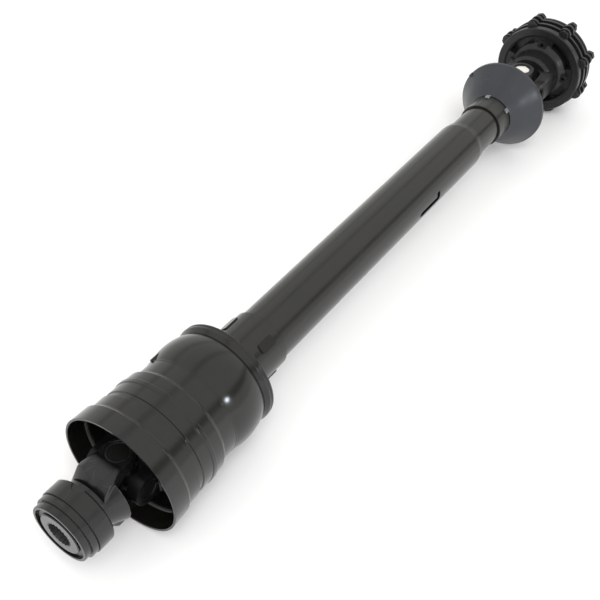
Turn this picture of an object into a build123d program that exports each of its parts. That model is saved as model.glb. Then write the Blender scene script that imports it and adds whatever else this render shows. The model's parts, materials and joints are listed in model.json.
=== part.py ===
from build123d import *
import os
from math import cos, pi, radians, sin, sqrt

# Agricultural drive shaft with plastic guards. It lies along X: the splined tractor hub is at the origin,
# then come a wide-angle (double) joint inside a bell shield, two telescoping profile tubes inside two guard
# tubes, a guard cone, a single universal joint and a friction clutch with the implement hub.

os.makedirs("parts", exist_ok=True)

# ---- clearances ----
press_gap = 0.03
running_gap = 0.06
sliding_gap = 0.3
seat_gap = 0.05
loose_gap = 0.2
spline_gap = 0.1
guard_play = 2.7  # between the outer profile tube and the inner guard tube
guard_tube_play = 2.3  # between the two guard tubes

# ---- universal joints ----
cup_radius = 15.1
cup_length = 13.2
cup_floor = 3.0
cup_ring_thickness = 1.6
cup_ring_depth = 1.4
cup_ring_width = 3.4
trunnion_radius = cup_radius - 5.6
cross_shoulder_radius = trunnion_radius + 3
cross_core_radius = trunnion_radius + 7
ear_radius = cup_radius + 5.4
ear_tip = ear_radius - 1.5
ear_inner = ear_radius + 4.1
cup_open_end = ear_inner + loose_gap
cross_shoulder = cup_open_end - 2.8
cup_end = cup_open_end + cup_length
ear_face = cup_end + 3
ear_block = ear_face + 2.5
fork_envelope = ear_block + 3
fork_shoulder = 15.0
fork_half_width = ear_radius + 4.5
wide_throat = ear_radius + 10.5
wide_root = ear_radius + 29.5
single_throat = ear_radius + 19.5
single_root = single_throat + 16
nipple_radius = 2.4
nipple_hex_radius = 3.6
nipple_seat = cross_core_radius + 1
nipple_tip = nipple_seat + 7.5

# ---- tractor hub and locking collar ----
hub_radius = 29.0
hub_shoulder_radius = hub_radius + 2.5
hub_bore_depth = 62.0
spline_teeth = 21
spline_minor_radius = 15.875
spline_major_radius = 17.6
spline_tip_width = 2.1
spline_root_width = 3.4
ball_station = 14.0
ball_count = 3
ball_phase = 30.0
ball_bite_radius = spline_minor_radius + 0.375
ball_radius = (hub_radius + seat_gap - ball_bite_radius) / 2
collar_length = 41.0
collar_travel = 6.0
collar_room = 3.0
collar_radius = hub_radius + 15.5
collar_step_radius = collar_radius - 1.5
collar_lip_radius = collar_radius - 4.3
collar_lip_length = 9.0
collar_step_end = 18.0
collar_notch_radius = 9.0
lock_ring_start = 4.5
lock_ring_end = 22.0
lock_ring_radius = hub_radius + 5.9
lock_land_start = 12.0
lock_release_radius = hub_radius + 3.6
snap_ring_thickness = 1.4
snap_ring_radius = hub_radius + 4.8
snap_groove_radius = hub_radius - 1.5
washer_thickness = 2.0
washer_radius = hub_radius + 5.4
spring_wire_radius = 1.1
spring_turns = 4.0

# ---- centring of the wide-angle joint ----
bend_limit = 11.0
housing_half_thickness = 6.5
housing_flange_radius = fork_envelope - 0.5
housing_bolt_circle = housing_flange_radius - 6
housing_bolt_radius = 3.0
housing_bolt_angle = 55.0
housing_bolt_head = 3.4
housing_throat = ear_radius + 13
cross_spacing = 2 * (housing_throat + housing_half_thickness)
stud_reach = cross_spacing / 2 - 7.2
stud_ball_radius = 6.5
stud_neck_radius = stud_ball_radius - 2.7
bridge_thickness = 5.2
bridge_half_length = ear_face - 5
bridge_half_width = 8.0
ball_gap = 0.28
bush_wall = 2.3
bush_half_length = 9.0
disc_half_thickness = 3.9

# ---- stations along the shaft ----
shaft_span = 956.0  # from the middle cross to the rear cross
front_cross_x = collar_length + collar_travel + collar_room + wide_root
middle_cross_x = front_cross_x + cross_spacing
housing_x = front_cross_x + cross_spacing / 2
rear_cross_x = middle_cross_x + shaft_span

# ---- telescoping profile tubes: three-lobed sections ----
lobe_offset = 13.0
outer_profile_lobe = 16.0
profile_wall = 3.4
profile_radius = lobe_offset + outer_profile_lobe
inner_tube_end = rear_cross_x - 206
outer_tube_start = middle_cross_x + 240
front_socket_start = middle_cross_x + wide_root + 32
socket_depth = 54.0
front_hub_end = front_socket_start + 68
front_hub_radius = profile_radius + 4
rear_hub_start = rear_cross_x - single_root - 74
rear_hub_radius = profile_radius + 5
tube_pin_radius = 4.0
front_pin_x = front_socket_start + 23
rear_pin_x = rear_hub_start + 39

# ---- front guard: bell shield, base, bearing and outer tube ----
guard_wall = 3.0
inner_guard_radius = profile_radius + guard_play + guard_wall
guard_tube_radius = inner_guard_radius + guard_tube_play + guard_wall
guard_tube_end = rear_cross_x - 214
guard_neck_radius = inner_guard_radius + 3
guard_neck_length = 16.0
bell_mouth_x = front_cross_x - 6
bell_mouth_radius = 85.5
bell_band_radius = 80.5
bell_groove_radius = bell_band_radius - 2.6
bell_ridge_radius = 79.2
bell_waist_radius = 72.6
dome_radius = 77.7
dome_centre_x = middle_cross_x + 66
bell_end_x = dome_centre_x + 38
bell_rib_count = 8
bell_rib_height = 5.0
bell_rib_thickness = 2.6
guard_lug_angle = 31.0
guard_lug_hole = 1.6
clamp_ring_radius = dome_radius - 2.2
base_sleeve_radius = guard_tube_radius + 3.3
base_sleeve_end = bell_end_x + 78
tube_seat_x = bell_end_x + 34
bearing_width = 9.4
bearing_groove_depth = 3.2
front_bearing_x = front_hub_end - 23
bearing_split = 2.0
slot_width = 9.0
slot_start = guard_tube_end - 208
slot_end = slot_start + 60
slot_angle = 185.5
slot_hook = 8.0

# ---- rear guard: inner tube, cone and bearing ----
inner_guard_start = middle_cross_x + 260
cone_neck_start = rear_hub_start - 21
cone_neck_radius = inner_guard_radius + 3.5
cone_rim_x = rear_cross_x - 67
cone_rim_radius = 77.5
cone_wall = 3.0
rear_bearing_x = rear_hub_start + 13
clip_count = 2
clip_first_angle = 80.0
clip_spacing = 60.0

# ---- friction clutch ----
clutch_hub_radius = 30.0
bushing_wall = 4.0
boss_cavity_radius = clutch_hub_radius + bushing_wall
boss_radius = boss_cavity_radius + 9
clutch_throat_x = rear_cross_x + single_throat
clutch_face_x = clutch_throat_x + 40
clutch_bolt_circle_radius = 80.5
clutch_ring_radius = clutch_bolt_circle_radius + 0.5
clutch_ring_width = 11.0
clutch_groove_radius = clutch_bolt_circle_radius - 11
friction_flange_x = clutch_face_x + 17
friction_flange_thickness = 5.0
friction_flange_radius = clutch_bolt_circle_radius + 3
clutch_bolt_count = 8
clutch_bolt_radius = 5.0
clutch_bolt_head_width = 17.0
clutch_bolt_head_height = 5.6
bolt_ear_radius = clutch_bolt_head_width / 2 + 2.5
clutch_bolt_phase = 22.5
clutch_nut_height = 8.0
friction_disc_thickness = 2.8
hub_flange_radius = clutch_hub_radius + 12
friction_disc_radius = clutch_bolt_circle_radius - 7
friction_disc_bore_radius = hub_flange_radius + 6
drive_plate_thickness = 4.4
drive_tooth_count = 12
drive_tooth_width = 9.0
pressure_plate_thickness = 6.0
pressure_plate_radius = clutch_bolt_circle_radius + 3
disc_spring_thickness = 4.0
disc_spring_rise = 5.0
disc_spring_bore_radius = clutch_hub_radius + 14
clutch_hub_end = clutch_face_x + 84
hub_bore_radius = 14.9
hub_spline_major_radius = 17.6
hub_spline_count = 6
hub_groove_width = 8.7
window_inner_radius = boss_radius + 9
window_outer_radius = clutch_groove_radius - 5.5
window_half_angle = 27.0
window_count = 4
arm_hole_circle_radius = 52.0
arm_hole_radius = 3.6
clamp_bolt_radius = 6.0
clamp_head_radius = 10.4
clamp_seat = 20.0


def keep(part, label):
    """Label a finished piece and write its STEP file."""
    part.label = label
    export_step(part, f"parts/{label}.step")


def radial(angle):
    """Unit vector across the shaft, at an angle from +Y towards +Z."""
    return Vector(0, cos(radians(angle)), sin(radians(angle)))


def pin_plane(x, angle, offset=0.0):
    """Plane square to a pin that stands across the shaft at station x."""
    origin = Vector(x, 0, 0) + radial(angle) * offset
    return Plane(origin=origin, x_dir=(1, 0, 0), z_dir=radial(angle))


def fork_plane(x, angle):
    """Plane that holds the shaft axis (local X) and the fork's pin axis (local Y)."""
    return Plane(origin=(x, 0, 0), x_dir=(1, 0, 0), z_dir=radial(angle + 90))


def turned(outline):
    """Solid of revolution about the shaft axis from (x, radius) points."""
    with BuildPart() as piece:
        with BuildSketch(Plane.XY):
            with BuildLine():
                Polyline(*outline, close=True)
            make_face()
        revolve(axis=Axis.X)
    return piece.part


def sleeve(start, end, inner, outer):
    """Plain tube along the shaft."""
    return turned([(start, inner), (end, inner), (end, outer), (start, outer)])


def lobed_bar(start, end, lobe):
    """Three-lobed solid bar along the shaft."""
    with BuildPart() as bar:
        with BuildSketch(Plane.YZ.offset(start)):
            with PolarLocations(lobe_offset, 3, start_angle=90):
                Circle(lobe)
            make_hull()
        extrude(amount=end - start)
    return bar.part


def lobed_tube(start, end, lobe, pin_x):
    """Three-lobed tube with a cross hole for its pin."""
    with BuildPart() as tube:
        add(lobed_bar(start, end, lobe))
        add(lobed_bar(start, end, lobe - profile_wall), mode=Mode.SUBTRACT)
        with BuildSketch(pin_plane(pin_x, 0)):
            Circle(tube_pin_radius + seat_gap)
        extrude(amount=rear_hub_radius, both=True, mode=Mode.SUBTRACT)
    return tube.part


def fork_blank(centre, angle, side, throat, root, tip=ear_radius):
    """Two drilled ears and their bridge; side is the way the ears point along the shaft."""
    back = -side
    with BuildPart() as blank:
        with BuildSketch(pin_plane(centre, angle)):
            Circle(ear_radius)
            with BuildLine():
                Polyline(
                    (0, -ear_radius),
                    (back * fork_shoulder, -ear_radius),
                    (back * throat, -fork_half_width),
                    (back * root, -fork_half_width),
                    (back * root, fork_half_width),
                    (back * throat, fork_half_width),
                    (back * fork_shoulder, ear_radius),
                    (0, ear_radius),
                    close=True,
                )
            make_face()
        extrude(amount=ear_block, both=True)
        with BuildSketch(fork_plane(centre, angle)):
            with BuildLine():
                Polyline(
                    (side * tip, ear_inner),
                    (side * tip, ear_face),
                    (back * fork_shoulder, ear_face),
                    (back * (fork_shoulder + 2), ear_block),
                    (back * root, ear_block),
                    (back * root, -ear_block),
                    (back * (fork_shoulder + 2), -ear_block),
                    (back * fork_shoulder, -ear_face),
                    (side * tip, -ear_face),
                    (side * tip, -ear_inner),
                    (back * (throat - 9), -ear_inner),
                    (back * throat, -ear_inner + 10),
                    (back * throat, ear_inner - 10),
                    (back * (throat - 9), ear_inner),
                    close=True,
                )
            make_face()
        extrude(amount=fork_half_width, both=True, mode=Mode.INTERSECT)
        with BuildSketch(Plane.XY):
            with BuildLine():
                Polyline(
                    (centre + side * (ear_radius + 1), 0),
                    (centre + side * (ear_radius + 1), ear_face),
                    (centre + side * (ear_radius - 7), fork_envelope),
                    (centre + back * (root - 11), fork_envelope),
                    (centre + back * root, fork_envelope - 11),
                    (centre + back * root, 0),
                    close=True,
                )
            make_face()
        revolve(axis=Axis.X, mode=Mode.INTERSECT)
        with BuildSketch(pin_plane(centre, angle)):
            Circle(cup_radius + press_gap)
        extrude(amount=ear_block + 1, both=True, mode=Mode.SUBTRACT)
        for turn in (0, 180):
            with BuildSketch(pin_plane(centre, angle + turn, cup_end)):
                Circle(cup_radius + cup_ring_depth)
            extrude(amount=cup_ring_thickness, mode=Mode.SUBTRACT)
    return blank.part


def spline_cutter(start, length, teeth, minor, major, tip_width, root_width):
    """Bar that leaves inward splines when it is cut from a hub."""
    with BuildPart() as cutter:
        with BuildSketch(Plane.YZ.offset(start)):
            Circle(major)
            with PolarLocations(0, teeth):
                Polygon(
                    (minor - 1, -tip_width / 2),
                    (minor, -tip_width / 2),
                    (major + 1, -root_width / 2),
                    (major + 1, root_width / 2),
                    (minor, tip_width / 2),
                    (minor - 1, tip_width / 2),
                    align=None,
                    mode=Mode.SUBTRACT,
                )
            Circle(minor)
        extrude(amount=length)
    return cutter.part


def cross_body(centre):
    """Cross with four trunnions, along Y and Z."""
    with BuildPart() as cross:
        with Locations((centre, 0, 0)):
            Sphere(cross_core_radius)
        for angle in (0, 90):
            with BuildSketch(pin_plane(centre, angle)):
                Circle(cross_shoulder_radius)
            extrude(amount=cross_shoulder, both=True)
            with BuildSketch(pin_plane(centre, angle)):
                Circle(trunnion_radius)
            extrude(amount=cup_end - cup_floor - loose_gap, both=True)
        with BuildSketch(pin_plane(centre, 45)):
            Circle(nipple_radius)
        extrude(amount=nipple_seat, mode=Mode.SUBTRACT)
        with BuildSketch(pin_plane(centre, 45, nipple_seat - seat_gap)):
            Circle(nipple_hex_radius + seat_gap)
        extrude(amount=nipple_tip - nipple_seat, mode=Mode.SUBTRACT)
    return cross.part


def cross_seals(centre):
    """Four seal rings between the cross shoulders and the bearing cups."""
    with BuildPart() as seals:
        for quarter in range(4):
            start = cross_shoulder + seat_gap
            with BuildSketch(pin_plane(centre, 90 * quarter, start)):
                Circle(cross_shoulder_radius)
                Circle(trunnion_radius + seat_gap, mode=Mode.SUBTRACT)
            extrude(amount=cup_open_end - start - loose_gap)
    return seals.part


def cross_nipple(centre):
    """Grease nipple screwed into the core of a cross, between two trunnions."""
    with BuildPart() as nipple:
        with BuildSketch(pin_plane(centre, 45, nipple_seat - 6)):
            Circle(nipple_radius - seat_gap)
        extrude(amount=6)
        with BuildSketch(pin_plane(centre, 45, nipple_seat)):
            RegularPolygon(nipple_hex_radius, 6)
        extrude(amount=3)
        with BuildSketch(pin_plane(centre, 45, nipple_seat + 3)):
            Circle(nipple_radius)
        extrude(amount=nipple_tip - nipple_seat - 3, taper=14)
    return nipple.part


def bearing_cups(centres, angle):
    """Closed bearing cups pressed into the ears of one or more forks."""
    with BuildPart() as cups:
        for centre in centres:
            for turn in (0, 180):
                with BuildSketch(pin_plane(centre, angle + turn, cup_open_end)):
                    Circle(cup_radius)
                extrude(amount=cup_end - cup_open_end - seat_gap)
                with BuildSketch(pin_plane(centre, angle + turn, cup_open_end)):
                    Circle(trunnion_radius + running_gap)
                extrude(amount=cup_end - cup_floor - cup_open_end, mode=Mode.SUBTRACT)
    return cups.part


def cup_rings(centres, angle):
    """Sprung circlips that hold the bearing cups in the ears."""
    ring_outer = cup_radius + cup_ring_depth - seat_gap
    ring_inner = ring_outer - cup_ring_width
    with BuildPart() as rings:
        for centre in centres:
            for turn in (0, 180):
                with BuildSketch(pin_plane(centre, angle + turn, cup_end + seat_gap)):
                    Circle(ring_outer)
                    Circle(ring_inner, mode=Mode.SUBTRACT)
                    with Locations((ring_inner, 0)):
                        Rectangle(3 * cup_ring_width, 5, mode=Mode.SUBTRACT)
                extrude(amount=cup_ring_thickness - 2 * seat_gap)
    return rings.part


def centring_stud(centre, side):
    """Bridge across the ear tips with the ball stud that enters the centring bush."""
    bridge_x = centre + side * (ear_tip + seat_gap)
    bridge_plane = Plane(origin=(bridge_x, 0, 0), x_dir=(0, 1, 0), z_dir=(side, 0, 0))
    with BuildPart() as stud:
        with BuildSketch(bridge_plane):
            SlotOverall(2 * bridge_half_length, 2 * bridge_half_width, rotation=90)
        extrude(amount=bridge_thickness)
        with BuildSketch(bridge_plane.offset(bridge_thickness)):
            Circle(stud_neck_radius + 3)
        extrude(amount=stud_reach - ear_tip - bridge_thickness, taper=18)
        with Locations((centre + side * stud_reach, 0, 0)):
            Sphere(stud_ball_radius)
    return stud.part


# ================= tractor hub and locking collar =================

with BuildPart() as tractor_yoke:
    add(fork_blank(front_cross_x, 90, 1, wide_throat, wide_root, ear_tip))
    add(turned([(0, 0), (0, hub_radius - 1), (1, hub_radius), (collar_length + 1, hub_radius),
                (collar_length + 1, hub_shoulder_radius),
                (front_cross_x - wide_root, hub_shoulder_radius + 2),
                (front_cross_x - wide_throat, fork_envelope - 4), (front_cross_x - wide_throat, 0)]))
    add(spline_cutter(0, hub_bore_depth, spline_teeth, spline_minor_radius, spline_major_radius,
                      spline_tip_width, spline_root_width), mode=Mode.SUBTRACT)
    add(sleeve(lock_ring_start - snap_ring_thickness - 0.1, lock_ring_start, snap_groove_radius,
               hub_radius + 1), mode=Mode.SUBTRACT)
    for index in range(ball_count):
        with BuildSketch(pin_plane(ball_station, ball_phase + 360 / ball_count * index)):
            Circle(ball_radius + seat_gap)
        extrude(amount=hub_radius + 1, mode=Mode.SUBTRACT)
keep(tractor_yoke.part, "tractor_yoke")

with BuildPart() as locking_balls:
    for index in range(ball_count):
        ball_seat = hub_radius + seat_gap - ball_radius
        with Locations(pin_plane(ball_station, ball_phase + 360 / ball_count * index, ball_seat)):
            Sphere(ball_radius)
keep(locking_balls.part, "locking_balls")

collar_bore = lock_ring_radius + 0.1
spring_bore = lock_ring_radius + 0.7
with BuildPart() as locking_collar:
    add(turned([
        (0, collar_lip_radius - 0.8), (0.8, collar_lip_radius), (collar_lip_length, collar_lip_radius),
        (collar_lip_length, collar_step_radius - 0.6), (collar_lip_length + 0.6, collar_step_radius),
        (collar_step_end - 1.2, collar_step_radius), (collar_step_end - 1.2, collar_step_radius - 0.9),
        (collar_step_end, collar_step_radius - 0.9), (collar_step_end, collar_radius - 0.6),
        (collar_step_end + 0.6, collar_radius), (collar_length - 2, collar_radius),
        (collar_length, collar_radius - 2), (collar_length, spring_bore), (lock_ring_end, spring_bore),
        (lock_ring_end, collar_bore), (lock_ring_start, collar_bore), (lock_ring_start, collar_bore + 1.2),
        (0, collar_bore + 1.2),
    ]))
    with Locations((collar_length, 0, collar_radius)):
        Cylinder(collar_notch_radius, 5, mode=Mode.SUBTRACT)
keep(locking_collar.part, "locking_collar")

keep(turned([
    (lock_ring_start, lock_release_radius), (lock_land_start - 1.5, lock_release_radius),
    (lock_land_start, hub_radius + 2 * seat_gap), (lock_ring_end, hub_radius + 2 * seat_gap),
    (lock_ring_end, lock_ring_radius), (lock_ring_start, lock_ring_radius),
]), "collar_lock_ring")

washer_end = collar_length + 1
washer_start = washer_end - washer_thickness
keep(sleeve(washer_start, washer_end - seat_gap, hub_radius + seat_gap, washer_radius),
     "collar_spring_washer")

with BuildPart() as collar_snap_ring:
    with BuildSketch(Plane.YZ.offset(lock_ring_start - snap_ring_thickness - seat_gap)):
        Circle(snap_ring_radius)
        Circle(snap_groove_radius + seat_gap, mode=Mode.SUBTRACT)
        with Locations((snap_ring_radius, 0)):
            Rectangle(18, 6, mode=Mode.SUBTRACT)
    extrude(amount=snap_ring_thickness)
keep(collar_snap_ring.part, "collar_snap_ring")

spring_mean_radius = (hub_radius + spring_bore) / 2
spring_start = lock_ring_end + spring_wire_radius + loose_gap
spring_length = washer_start - spring_start - spring_wire_radius - loose_gap
with BuildPart() as collar_spring:
    with BuildLine() as coil:
        Helix(spring_length / spring_turns, spring_length, spring_mean_radius,
              center=(spring_start, 0, 0), direction=(1, 0, 0))
    with BuildSketch(Plane(origin=coil.line @ 0, z_dir=coil.line % 0)):
        Circle(spring_wire_radius)
    sweep()
keep(collar_spring.part, "collar_spring")

keep(bearing_cups([front_cross_x], 90), "tractor_yoke_bearing_cups")
keep(cup_rings([front_cross_x], 90), "tractor_yoke_cup_rings")
keep(centring_stud(front_cross_x, 1), "front_centring_stud")
keep(cross_body(front_cross_x), "front_cross")
keep(cross_seals(front_cross_x), "front_cross_seals")
keep(cross_nipple(front_cross_x), "front_cross_nipple")

# ================= centre housing of the wide-angle joint =================

disc_travel = radians(bend_limit) * stud_reach
bush_bore = stud_ball_radius + ball_gap
bush_radius = bush_bore + bush_wall
window_radius = bush_radius + disc_travel * sqrt(2) + loose_gap
disc_radius = window_radius + 2.8
bolt_y = housing_bolt_circle * cos(radians(housing_bolt_angle))
bolt_z = housing_bolt_circle * sin(radians(housing_bolt_angle))
housing_bolt_spots = [(bolt_y, bolt_z), (-bolt_y, bolt_z), (-bolt_y, -bolt_z), (bolt_y, -bolt_z)]


def housing_half(centre, side):
    """Flanged fork: one half of the centre housing, with its half of the centring chamber."""
    face_plane = Plane(origin=(housing_x, 0, 0), x_dir=(0, 1, 0), z_dir=(side, 0, 0))
    joint_face = seat_gap / 2
    with BuildPart() as half:
        add(fork_blank(centre, 0, side, housing_throat, cross_spacing / 2 - joint_face))
        with BuildSketch(face_plane.offset(joint_face)):
            Circle(housing_flange_radius)
        extrude(amount=housing_half_thickness - joint_face)
        with BuildSketch(face_plane):
            SlotCenterToCenter(2 * (disc_travel + loose_gap), 2 * (disc_radius + loose_gap))
        extrude(amount=disc_half_thickness + loose_gap / 2, mode=Mode.SUBTRACT)
        with BuildSketch(face_plane):
            Circle(window_radius)
        extrude(amount=housing_half_thickness + 1, mode=Mode.SUBTRACT)
        with BuildSketch(face_plane):
            with Locations(*housing_bolt_spots):
                Circle(housing_bolt_radius + seat_gap)
        extrude(amount=housing_half_thickness + 1, mode=Mode.SUBTRACT)
    return half.part


keep(housing_half(front_cross_x, -1), "housing_front_yoke")
keep(housing_half(middle_cross_x, 1), "housing_rear_yoke")

with BuildPart() as housing_bolts:
    bolt_plane = Plane.YZ.offset(housing_x - housing_half_thickness)
    with BuildSketch(bolt_plane):
        with Locations(*housing_bolt_spots):
            Circle(housing_bolt_radius)
    extrude(amount=2 * housing_half_thickness)
    with BuildSketch(bolt_plane.offset(-seat_gap)):
        with Locations(*housing_bolt_spots):
            RegularPolygon(1.7 * housing_bolt_radius, 6)
    extrude(amount=-housing_bolt_head)
    with BuildSketch(bolt_plane):
        with Locations(*housing_bolt_spots):
            Circle(housing_bolt_radius)
    extrude(amount=-seat_gap)
    with BuildSketch(bolt_plane.offset(2 * housing_half_thickness)):
        with Locations(*housing_bolt_spots):
            Circle(housing_bolt_radius)
    extrude(amount=seat_gap)
    with BuildSketch(bolt_plane.offset(2 * housing_half_thickness + seat_gap)):
        with Locations(*housing_bolt_spots):
            RegularPolygon(1.7 * housing_bolt_radius, 6)
    extrude(amount=housing_bolt_head)
keep(housing_bolts.part, "housing_bolts")

keep(bearing_cups([front_cross_x, middle_cross_x], 0), "housing_bearing_cups")
keep(cup_rings([front_cross_x, middle_cross_x], 0), "housing_cup_rings")

with BuildPart() as centring_disc:
    with BuildSketch(Plane.YZ.offset(housing_x - disc_half_thickness)):
        Circle(disc_radius)
        SlotCenterToCenter(2 * (disc_travel + loose_gap), 2 * (bush_radius + running_gap), rotation=90,
                           mode=Mode.SUBTRACT)
    extrude(amount=2 * disc_half_thickness)
keep(centring_disc.part, "centring_disc")
keep(sleeve(housing_x - bush_half_length, housing_x + bush_half_length, bush_bore, bush_radius),
     "centring_bush")

keep(cross_body(middle_cross_x), "middle_cross")
keep(cross_seals(middle_cross_x), "middle_cross_seals")
keep(cross_nipple(middle_cross_x), "middle_cross_nipple")

# ================= front half of the telescoping shaft =================

inner_profile_lobe = outer_profile_lobe - profile_wall - sliding_gap
groove_half = bearing_width / 2 + sliding_gap


def bearing_groove(x, hub):
    """Cutter for the groove in which a guard bearing runs."""
    return sleeve(x - groove_half, x + groove_half, hub - bearing_groove_depth, hub + 1)


with BuildPart() as inner_shaft_yoke:
    yoke_back = middle_cross_x + wide_root
    add(fork_blank(middle_cross_x, 90, -1, wide_throat, wide_root, ear_tip))
    add(turned([(middle_cross_x + wide_throat, 0), (middle_cross_x + wide_throat, fork_envelope - 4),
                (yoke_back, front_hub_radius + 2), (yoke_back + 12, front_hub_radius),
                (front_hub_end - 2, front_hub_radius), (front_hub_end, front_hub_radius - 2),
                (front_hub_end, 0)]))
    add(lobed_bar(front_socket_start, front_hub_end + 1, inner_profile_lobe + press_gap), mode=Mode.SUBTRACT)
    add(bearing_groove(front_bearing_x, front_hub_radius), mode=Mode.SUBTRACT)
    with BuildSketch(pin_plane(front_pin_x, 0)):
        Circle(tube_pin_radius + press_gap)
    extrude(amount=front_hub_radius + 1, both=True, mode=Mode.SUBTRACT)
keep(inner_shaft_yoke.part, "inner_shaft_yoke")

keep(bearing_cups([middle_cross_x], 90), "inner_yoke_bearing_cups")
keep(cup_rings([middle_cross_x], 90), "inner_yoke_cup_rings")
keep(centring_stud(middle_cross_x, -1), "rear_centring_stud")
keep(lobed_tube(front_socket_start + 1, inner_tube_end, inner_profile_lobe, front_pin_x),
     "inner_profile_tube")


def tube_pin(x, hub):
    """Slotted spring pin through a yoke hub and its profile tube."""
    with BuildPart() as pin:
        with BuildSketch(pin_plane(x, 0)):
            Circle(tube_pin_radius)
            Circle(tube_pin_radius - 1.4, mode=Mode.SUBTRACT)
            with Locations((tube_pin_radius, 0)):
                Rectangle(4, 1, mode=Mode.SUBTRACT)
        extrude(amount=hub - 1, both=True)
    return pin.part


keep(tube_pin(front_pin_x, front_hub_radius), "front_tube_pin")

# ================= front guard =================


def guard_bearing(x, hub, seat):
    """Split plastic ring that carries a guard on the groove of a yoke hub."""
    with BuildPart() as ring:
        add(sleeve(x - bearing_width / 2, x + bearing_width / 2, hub - bearing_groove_depth + running_gap,
                   seat - seat_gap))
        with Locations((x, 0, -seat + 3)):
            Box(bearing_width + 2, bearing_split, 12, mode=Mode.SUBTRACT)
    return ring.part


def bell_outline(inset):
    """Outline of the shield's bands from mouth to waist, inset by the wall for the inside."""
    bands = [
        (bell_mouth_x, bell_mouth_radius), (bell_mouth_x + 24, bell_mouth_radius - 1),
        (bell_mouth_x + 27, bell_mouth_radius - 2), (bell_mouth_x + 30, bell_band_radius + 0.6),
        (bell_mouth_x + 33, bell_band_radius), (bell_mouth_x + 48, bell_band_radius),
        (bell_mouth_x + 50, bell_groove_radius), (bell_mouth_x + 56, bell_groove_radius),
        (bell_mouth_x + 58, bell_ridge_radius), (bell_mouth_x + 73, bell_ridge_radius),
        (bell_mouth_x + 75, bell_ridge_radius + 1), (bell_mouth_x + 79, bell_ridge_radius + 1),
        (bell_mouth_x + 81, bell_ridge_radius - 0.3), (bell_mouth_x + 95, bell_ridge_radius - 1.2),
        (bell_mouth_x + 98, bell_ridge_radius - 3), (bell_mouth_x + 102, bell_waist_radius),
    ]
    return [(x, radius - inset) for x, radius in bands]


waist_x = dome_centre_x - sqrt(dome_radius**2 - bell_waist_radius**2)
inner_dome_radius = dome_radius - guard_wall
inner_waist_x = dome_centre_x - sqrt(inner_dome_radius**2 - (bell_waist_radius - guard_wall) ** 2)


def dome_height(x, radius):
    """Distance of the dome's surface from the shaft axis at station x."""
    return sqrt(radius**2 - (x - dome_centre_x) ** 2)


with BuildPart() as bell_shield:
    with BuildSketch(Plane.XY):
        with BuildLine():
            outer_bands = bell_outline(0)
            inner_bands = bell_outline(guard_wall)
            outer_end = (bell_end_x, dome_height(bell_end_x, dome_radius))
            inner_end = (bell_end_x, dome_height(bell_end_x, inner_dome_radius))
            Polyline(*outer_bands, (waist_x, bell_waist_radius))
            ThreePointArc((waist_x, bell_waist_radius), (dome_centre_x, dome_radius), outer_end)
            Line(outer_end, inner_end)
            ThreePointArc(inner_end, (dome_centre_x, inner_dome_radius),
                          (inner_waist_x, bell_waist_radius - guard_wall))
            Polyline((inner_waist_x, bell_waist_radius - guard_wall), *inner_bands[::-1], outer_bands[0])
        make_face()
    revolve(axis=Axis.X)
    for index in range(bell_rib_count):
        rib_angle = 360 / bell_rib_count * (index + 0.5)
        with BuildSketch(fork_plane(0, rib_angle)):
            with BuildLine():
                Polyline(
                    (bell_mouth_x + 32, bell_band_radius - guard_wall / 2),
                    (bell_mouth_x + 46, bell_band_radius - guard_wall - bell_rib_height),
                    (bell_mouth_x + 96, bell_waist_radius - guard_wall - 1),
                    (bell_mouth_x + 104, bell_waist_radius - guard_wall / 2),
                    (bell_mouth_x + 97, bell_waist_radius),
                    (bell_mouth_x + 60, bell_ridge_radius - guard_wall),
                    (bell_mouth_x + 52, bell_groove_radius - guard_wall / 2),
                    close=True,
                )
            make_face()
        extrude(amount=bell_rib_thickness / 2, both=True)
    lug_x = dome_centre_x - 21
    with BuildSketch(fork_plane(0, guard_lug_angle)):
        with Locations((lug_x, dome_radius - 1.5)):
            Rectangle(7, 6)
            Circle(guard_lug_hole, mode=Mode.SUBTRACT)
    extrude(amount=4, both=True)
keep(bell_shield.part, "bell_shield")

ring_start = bell_end_x - 4
ring_end = bell_end_x + 8
ring_bore = dome_height(ring_start, dome_radius) + 0.3
keep(turned([
    (ring_start, ring_bore), (ring_start, clamp_ring_radius - 1.6), (ring_start + 2, clamp_ring_radius),
    (ring_start + 5, clamp_ring_radius), (ring_start + 6, clamp_ring_radius - 1.4),
    (ring_start + 7.5, clamp_ring_radius - 1.4), (ring_start + 8.5, clamp_ring_radius - 0.4),
    (ring_end - 1, clamp_ring_radius - 0.6), (ring_end, clamp_ring_radius - 3), (ring_end, ring_bore),
]), "shield_clamp_ring")

bearing_seat = guard_tube_radius - guard_wall + loose_gap
base_flange = ring_bore - 0.1
base_start = bell_end_x + seat_gap
with BuildPart() as guard_base:
    add(turned([
        (base_start, base_flange - 5), (base_start, base_flange), (ring_end, base_flange),
        (ring_end + 12, base_sleeve_radius + 2.5), (ring_end + 15, base_sleeve_radius),
        (base_sleeve_end - 1, base_sleeve_radius), (base_sleeve_end, base_sleeve_radius - 1),
        (base_sleeve_end, guard_tube_radius + seat_gap), (tube_seat_x, guard_tube_radius + seat_gap),
        (tube_seat_x, bearing_seat), (ring_end + 8, bearing_seat), (base_start + 4, base_flange - 5),
    ]))
    for index in range(4):
        with BuildSketch(pin_plane(tube_seat_x + 18, 45 + 90 * index, base_sleeve_radius - 2)):
            RectangleRounded(26, 14, 3)
        extrude(amount=3.4)
keep(guard_base.part, "guard_base")
keep(guard_bearing(front_bearing_x, front_hub_radius, bearing_seat), "front_guard_bearing")

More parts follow.
